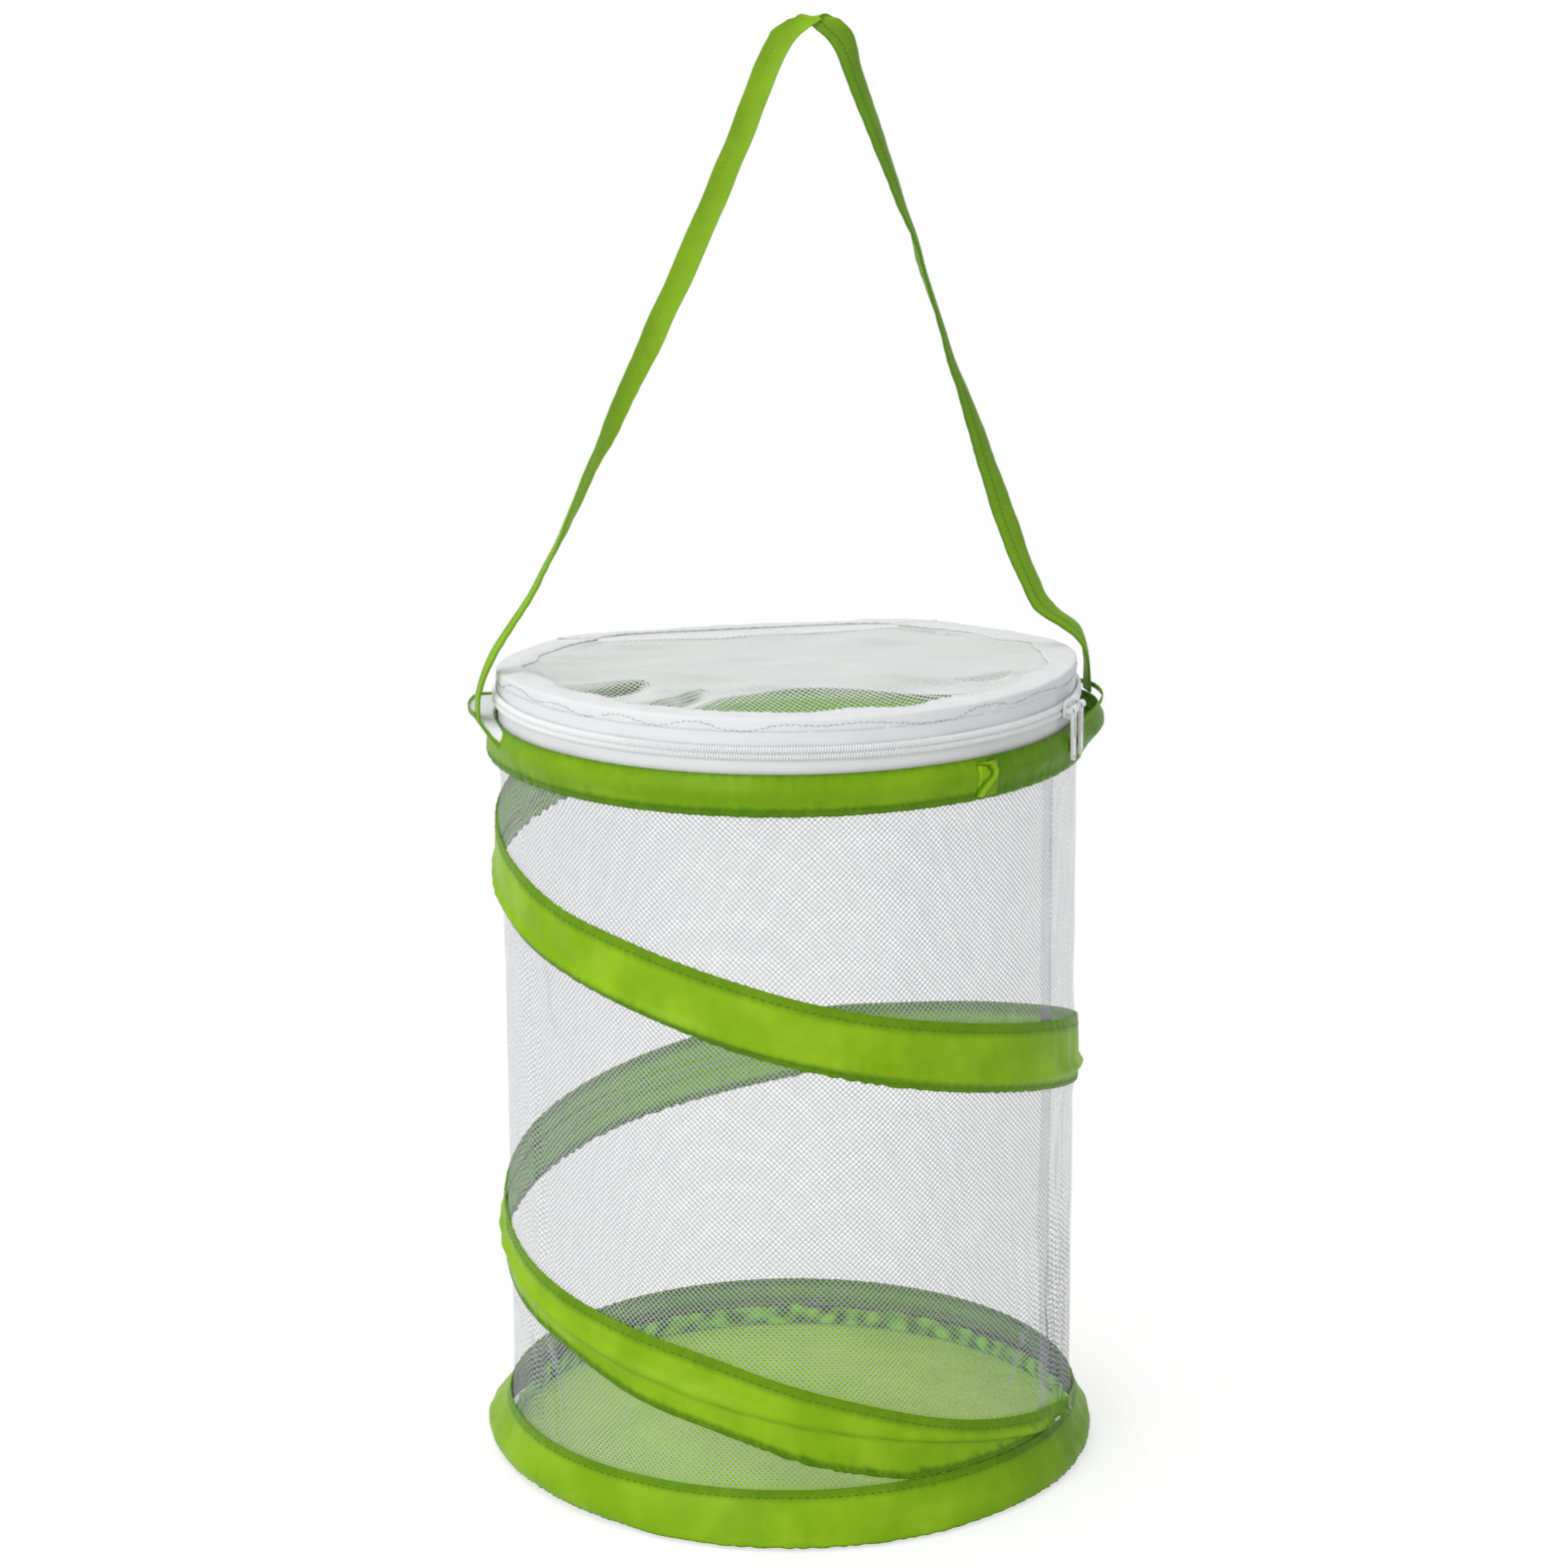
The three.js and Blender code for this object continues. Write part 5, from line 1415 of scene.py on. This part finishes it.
def strap_point(along, side, out):
    """A point at a share of the strap's length, side millimetres across it and out from its middle."""
    at = along * STRAP_LENGTH
    def pick(values):
        return np.stack([np.interp(at, strap_steps, values[:, k]) for k in range(3)], -1)
    return pick(strap_middle) + pick(strap_side) * side[:, None] + pick(strap_face) * out[:, None]


def strap_rule(across, down):
    corner = 2 * math.pi * across
    flat, round_ = np.cos(corner), np.sin(corner)
    side = np.sign(flat) * np.abs(flat) ** 0.42 * STRAP_WIDTH / 2
    cup = STRAP_CUP * (0.5 - (side * 2 / STRAP_WIDTH) ** 2)
    welt = 1 - 0.2 * np.exp(-((side - STRAP_SEAM) / 0.7) ** 2)
    out = np.sign(round_) * np.abs(round_) ** 0.4 * STRAP_THICKNESS / 2 * welt
    at = down * STRAP_LENGTH
    root = smooth(at, 0, 22) * (1 - smooth(at, STRAP_LENGTH - 22, STRAP_LENGTH))
    wave = 0.22 * ripple(151, at, side * 0.4, 16) + 0.28 * ripple(152, at, 0 * side, 41)
    edge_wave = 0.08 * np.sin(2 * math.pi * at / 7.3 + 2 * ripple(153, at, 0 * at, 22)) * (np.abs(side) / 5) ** 4
    drawn_in = side * (1 - 0.12 * root) + 0.16 * root * ripple(154, at, 0 * side, 19)
    return strap_point(down, drawn_in, out + root * (wave + edge_wave + cup)) * MM


def strap_edges_and_shade(across, down):
    flat = np.cos(2 * math.pi * across)
    side = np.sign(flat) * np.abs(flat) ** 0.42 * STRAP_WIDTH / 2
    edge = smooth(np.abs(side), 4.5, 4.95)
    line = np.exp(-((side - STRAP_SEAM) / 0.6) ** 2)
    # Painted shade: the leg right of the fold is given a deeper colour, less so near its root.
    right = 0.62 * smooth(down, 0.505, 0.53) * (1 - 0.5 * smooth(down, 0.78, 0.95))
    return np.clip(0.6 * edge + 0.55 * line + right, 0, 1)


bm = bend((32, 640), (22.4, STRAP_LENGTH), strap_rule, strap_edges_and_shade, ring=True)
bmesh.ops.holes_fill(bm, edges=[e for e in bm.edges if e.is_boundary], sides=0)
bmesh.ops.recalc_face_normals(bm, faces=bm.faces)
strap = piece("strap", bm, strap_webbing, "handle")
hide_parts("handle_strap")


def strap_line(side, face):
    def rule(across, down):
        at = across * STRAP_LENGTH
        root = smooth(at, 0, 22) * (1 - smooth(at, STRAP_LENGTH - 22, STRAP_LENGTH))
        cup = STRAP_CUP * (0.5 - (side * 2 / STRAP_WIDTH) ** 2)
        wave = 0.22 * ripple(151, at, side * 0.4 + 0 * at, 16) + 0.28 * ripple(152, at, 0 * at, 41)
        return strap_point(across, side * (1 - 0.12 * root), face * 0.5 + root * (wave + cup)) * MM
    return rule


def strap_out(face):
    def out(points):
        return np.stack([
            np.interp(np.arange(len(points)) / len(points) * STRAP_LENGTH, strap_steps, strap_face[:, k]) for k in range(3)
        ], -1) * face
    return out


strap_seams = [
    stitch_row(
        f"strap_stitches_{number}", strap_line(STRAP_SEAM, face), strap_out(face), level_row(STRAP_LENGTH, 1.7, 0.5),
        1.9, green_thread, "handle", slant=0.42, width=0.5,
    )
    for number, face in enumerate((1, -1))
]

# %% Ears round the strap's roots
EAR_HALF = 20
EAR_BULGE = 9.2
EAR_SHOWN = 0.6
EARS = {"strap_ear_right": ("right", -6, 3.6), "strap_ear_left": ("left", 172, 8.5)}
ear_foot, ear_head = (corner.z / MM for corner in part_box("strap_ear_left"))


def ear_rule(middle, front_sink, inset=0.0, rise=0.0, deep=EAR_SHOWN):
    """An ear's band: its ends sink into the sleeve, and more so towards the front."""
    def rule(across, down):
        offset = EAR_HALF * (2 * across - 1)
        towards_front = offset if middle > 90 else -offset
        share = np.cos(offset / EAR_HALF * math.pi / 2) ** 0.8
        pucker = 0.12 * np.sin(2 * math.pi * across * 77 / 5.1) * (1 - down)
        sink = np.where(towards_front > 0, front_sink, 3.6) * smooth(np.abs(offset), EAR_HALF * 0.35, EAR_HALF)
        height = ear_head + rise - deep * (ear_head - ear_foot) * down - sink
        return around(middle + offset, LIP_RADIUS + 0.1 + EAR_BULGE * share - inset + pucker, height)
    return rule


def pocket_rule(edge, middle):
    """White cloth that fills an ear, from its edge to the sleeve's upper edge."""
    def rule(across, down):
        outer = edge(across, 0 * down)
        inner = around(middle + EAR_HALF * (2 * across - 1), LIP_RADIUS - 0.5, CAGE_HEIGHT - 0.4 + 0 * down)
        return outer + (inner - outer) * down[:, None]
    return rule


for node, (name, middle, front_sink) in EARS.items():
    ear = thicken(
        piece(
            f"ear_{name}", bend((90, 6), (77, 2), ear_rule(middle, front_sink), lambda a, d: 0.75 + 0 * a), sleeve_nylon,
            "rim",
        ), 0.45,
    )
    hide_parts(node)
    if name == "right":
        continue
    pocket = pocket_rule(ear_rule(middle, front_sink, 0.5, -1.0), middle)
    thicken(piece(f"ear_lining_{name}", bend((90, 8), (77, 9), pocket, upward=True), zip_tape, "rim"), 0.3)

# %% Lapped end of the rim's sleeve
TUCK_ANGLE = -61
TUCK_HALF = 2.45


TUCK_CUT = (9.2, 12.4)
TUCK_FOLD = [(3.6, 0.2), (6.6, 1.4), (8.0, 3.4), (7.4, 5.4), (4.6, 8.0), (2.4, 10.2), (1.6, 12.2)]


def from_fold(across, down):
    """Millimetres from the tuck's folded edge, negative on its inner side."""
    x, y = across * TUCK_CUT[0], down * TUCK_CUT[1]
    known = np.array(TUCK_FOLD)
    edge = np.interp(y, known[:, 1], known[:, 0])
    slope = np.abs(np.interp(y + 0.3, known[:, 1], known[:, 0]) - edge) / 0.3
    return (x - edge) / np.hypot(1, slope)


def tuck_rule(across, down):
    angle = TUCK_ANGLE + TUCK_HALF * (2 * across - 1)
    away = from_fold(across, down)
    welt = np.exp(-(away / 0.75) ** 2)
    valley = np.exp(-((away + 2.0) / 1.0) ** 2)
    flap = 0.45 * smooth(-away, 2.2, 3.4) * (1 - smooth(down, 0.42, 0.52))
    edges = smooth(across, 0, 0.08) * (1 - smooth(across, 0.9, 1))
    lift = 0.15 + edges * (0.55 + 0.95 * welt - 0.45 * valley + flap)
    return around(angle, CROWN_RADIUS - 0.9 * (2 * down - 0.9) ** 2 + lift, CAGE_HEIGHT - 1.4 - TUCK_CUT[1] * down)


# Painted shade in the valley beside the folded edge, and a deeper colour past the edge, where the lapped end lies
# double.
def tuck_lap_and_shade(across, down):
    away = from_fold(across, down)
    return np.clip(0.95 * np.exp(-((away + 1.9) / 0.9) ** 2) + 0.5 * (away > 0.9) - 0.3 * np.exp(-(away / 0.6) ** 2), 0, 1)


tuck = thicken(
    piece(
        "rim_tuck", bend((56, 60), TUCK_CUT, tuck_rule, tuck_lap_and_shade), sleeve_nylon, "rim",
    ), 0.4,
)
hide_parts("rim_sleeve_tuck")

# %% [markdown]
# ## Metal and plastic
# Hoops, spring, tips, stops, sliders and pulls are rigid, and the CAD model already has their
# shapes. They keep their meshes and only get their finishes.

# %% Finishes on the CAD's rigid pieces
RIGID = {
    "base_hoop": steel, "rim_hoop": steel, "spiral_wire": steel,
    "spiral_tip_top": vinyl, "spiral_tip_bottom": vinyl,
    "zip_stop_right": enamel, "zip_stop_left": enamel,
    "slider_a": enamel, "slider_b": enamel, "pull_a": enamel, "pull_b": enamel,
}
for node, material in RIGID.items():
    nodes[node].data.materials.clear()
    nodes[node].data.materials.append(material)

# %% [markdown]
# ## What moves
# The rim slides down when the cage is pressed flat. The net's middle, its seam and the spiral
# crumple between the two ends; here each of them only gets a mesh of its own.

# %% Own meshes for what crumples
crumpling = [wall_middle, wall_seam, spiral_cloth, spiral_channel, *spiral_seams]
crumpling += [nodes[n] for n in ("spiral_wire", "spiral_tip_top", "spiral_tip_bottom")]
for soft_piece in crumpling:
    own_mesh(soft_piece)
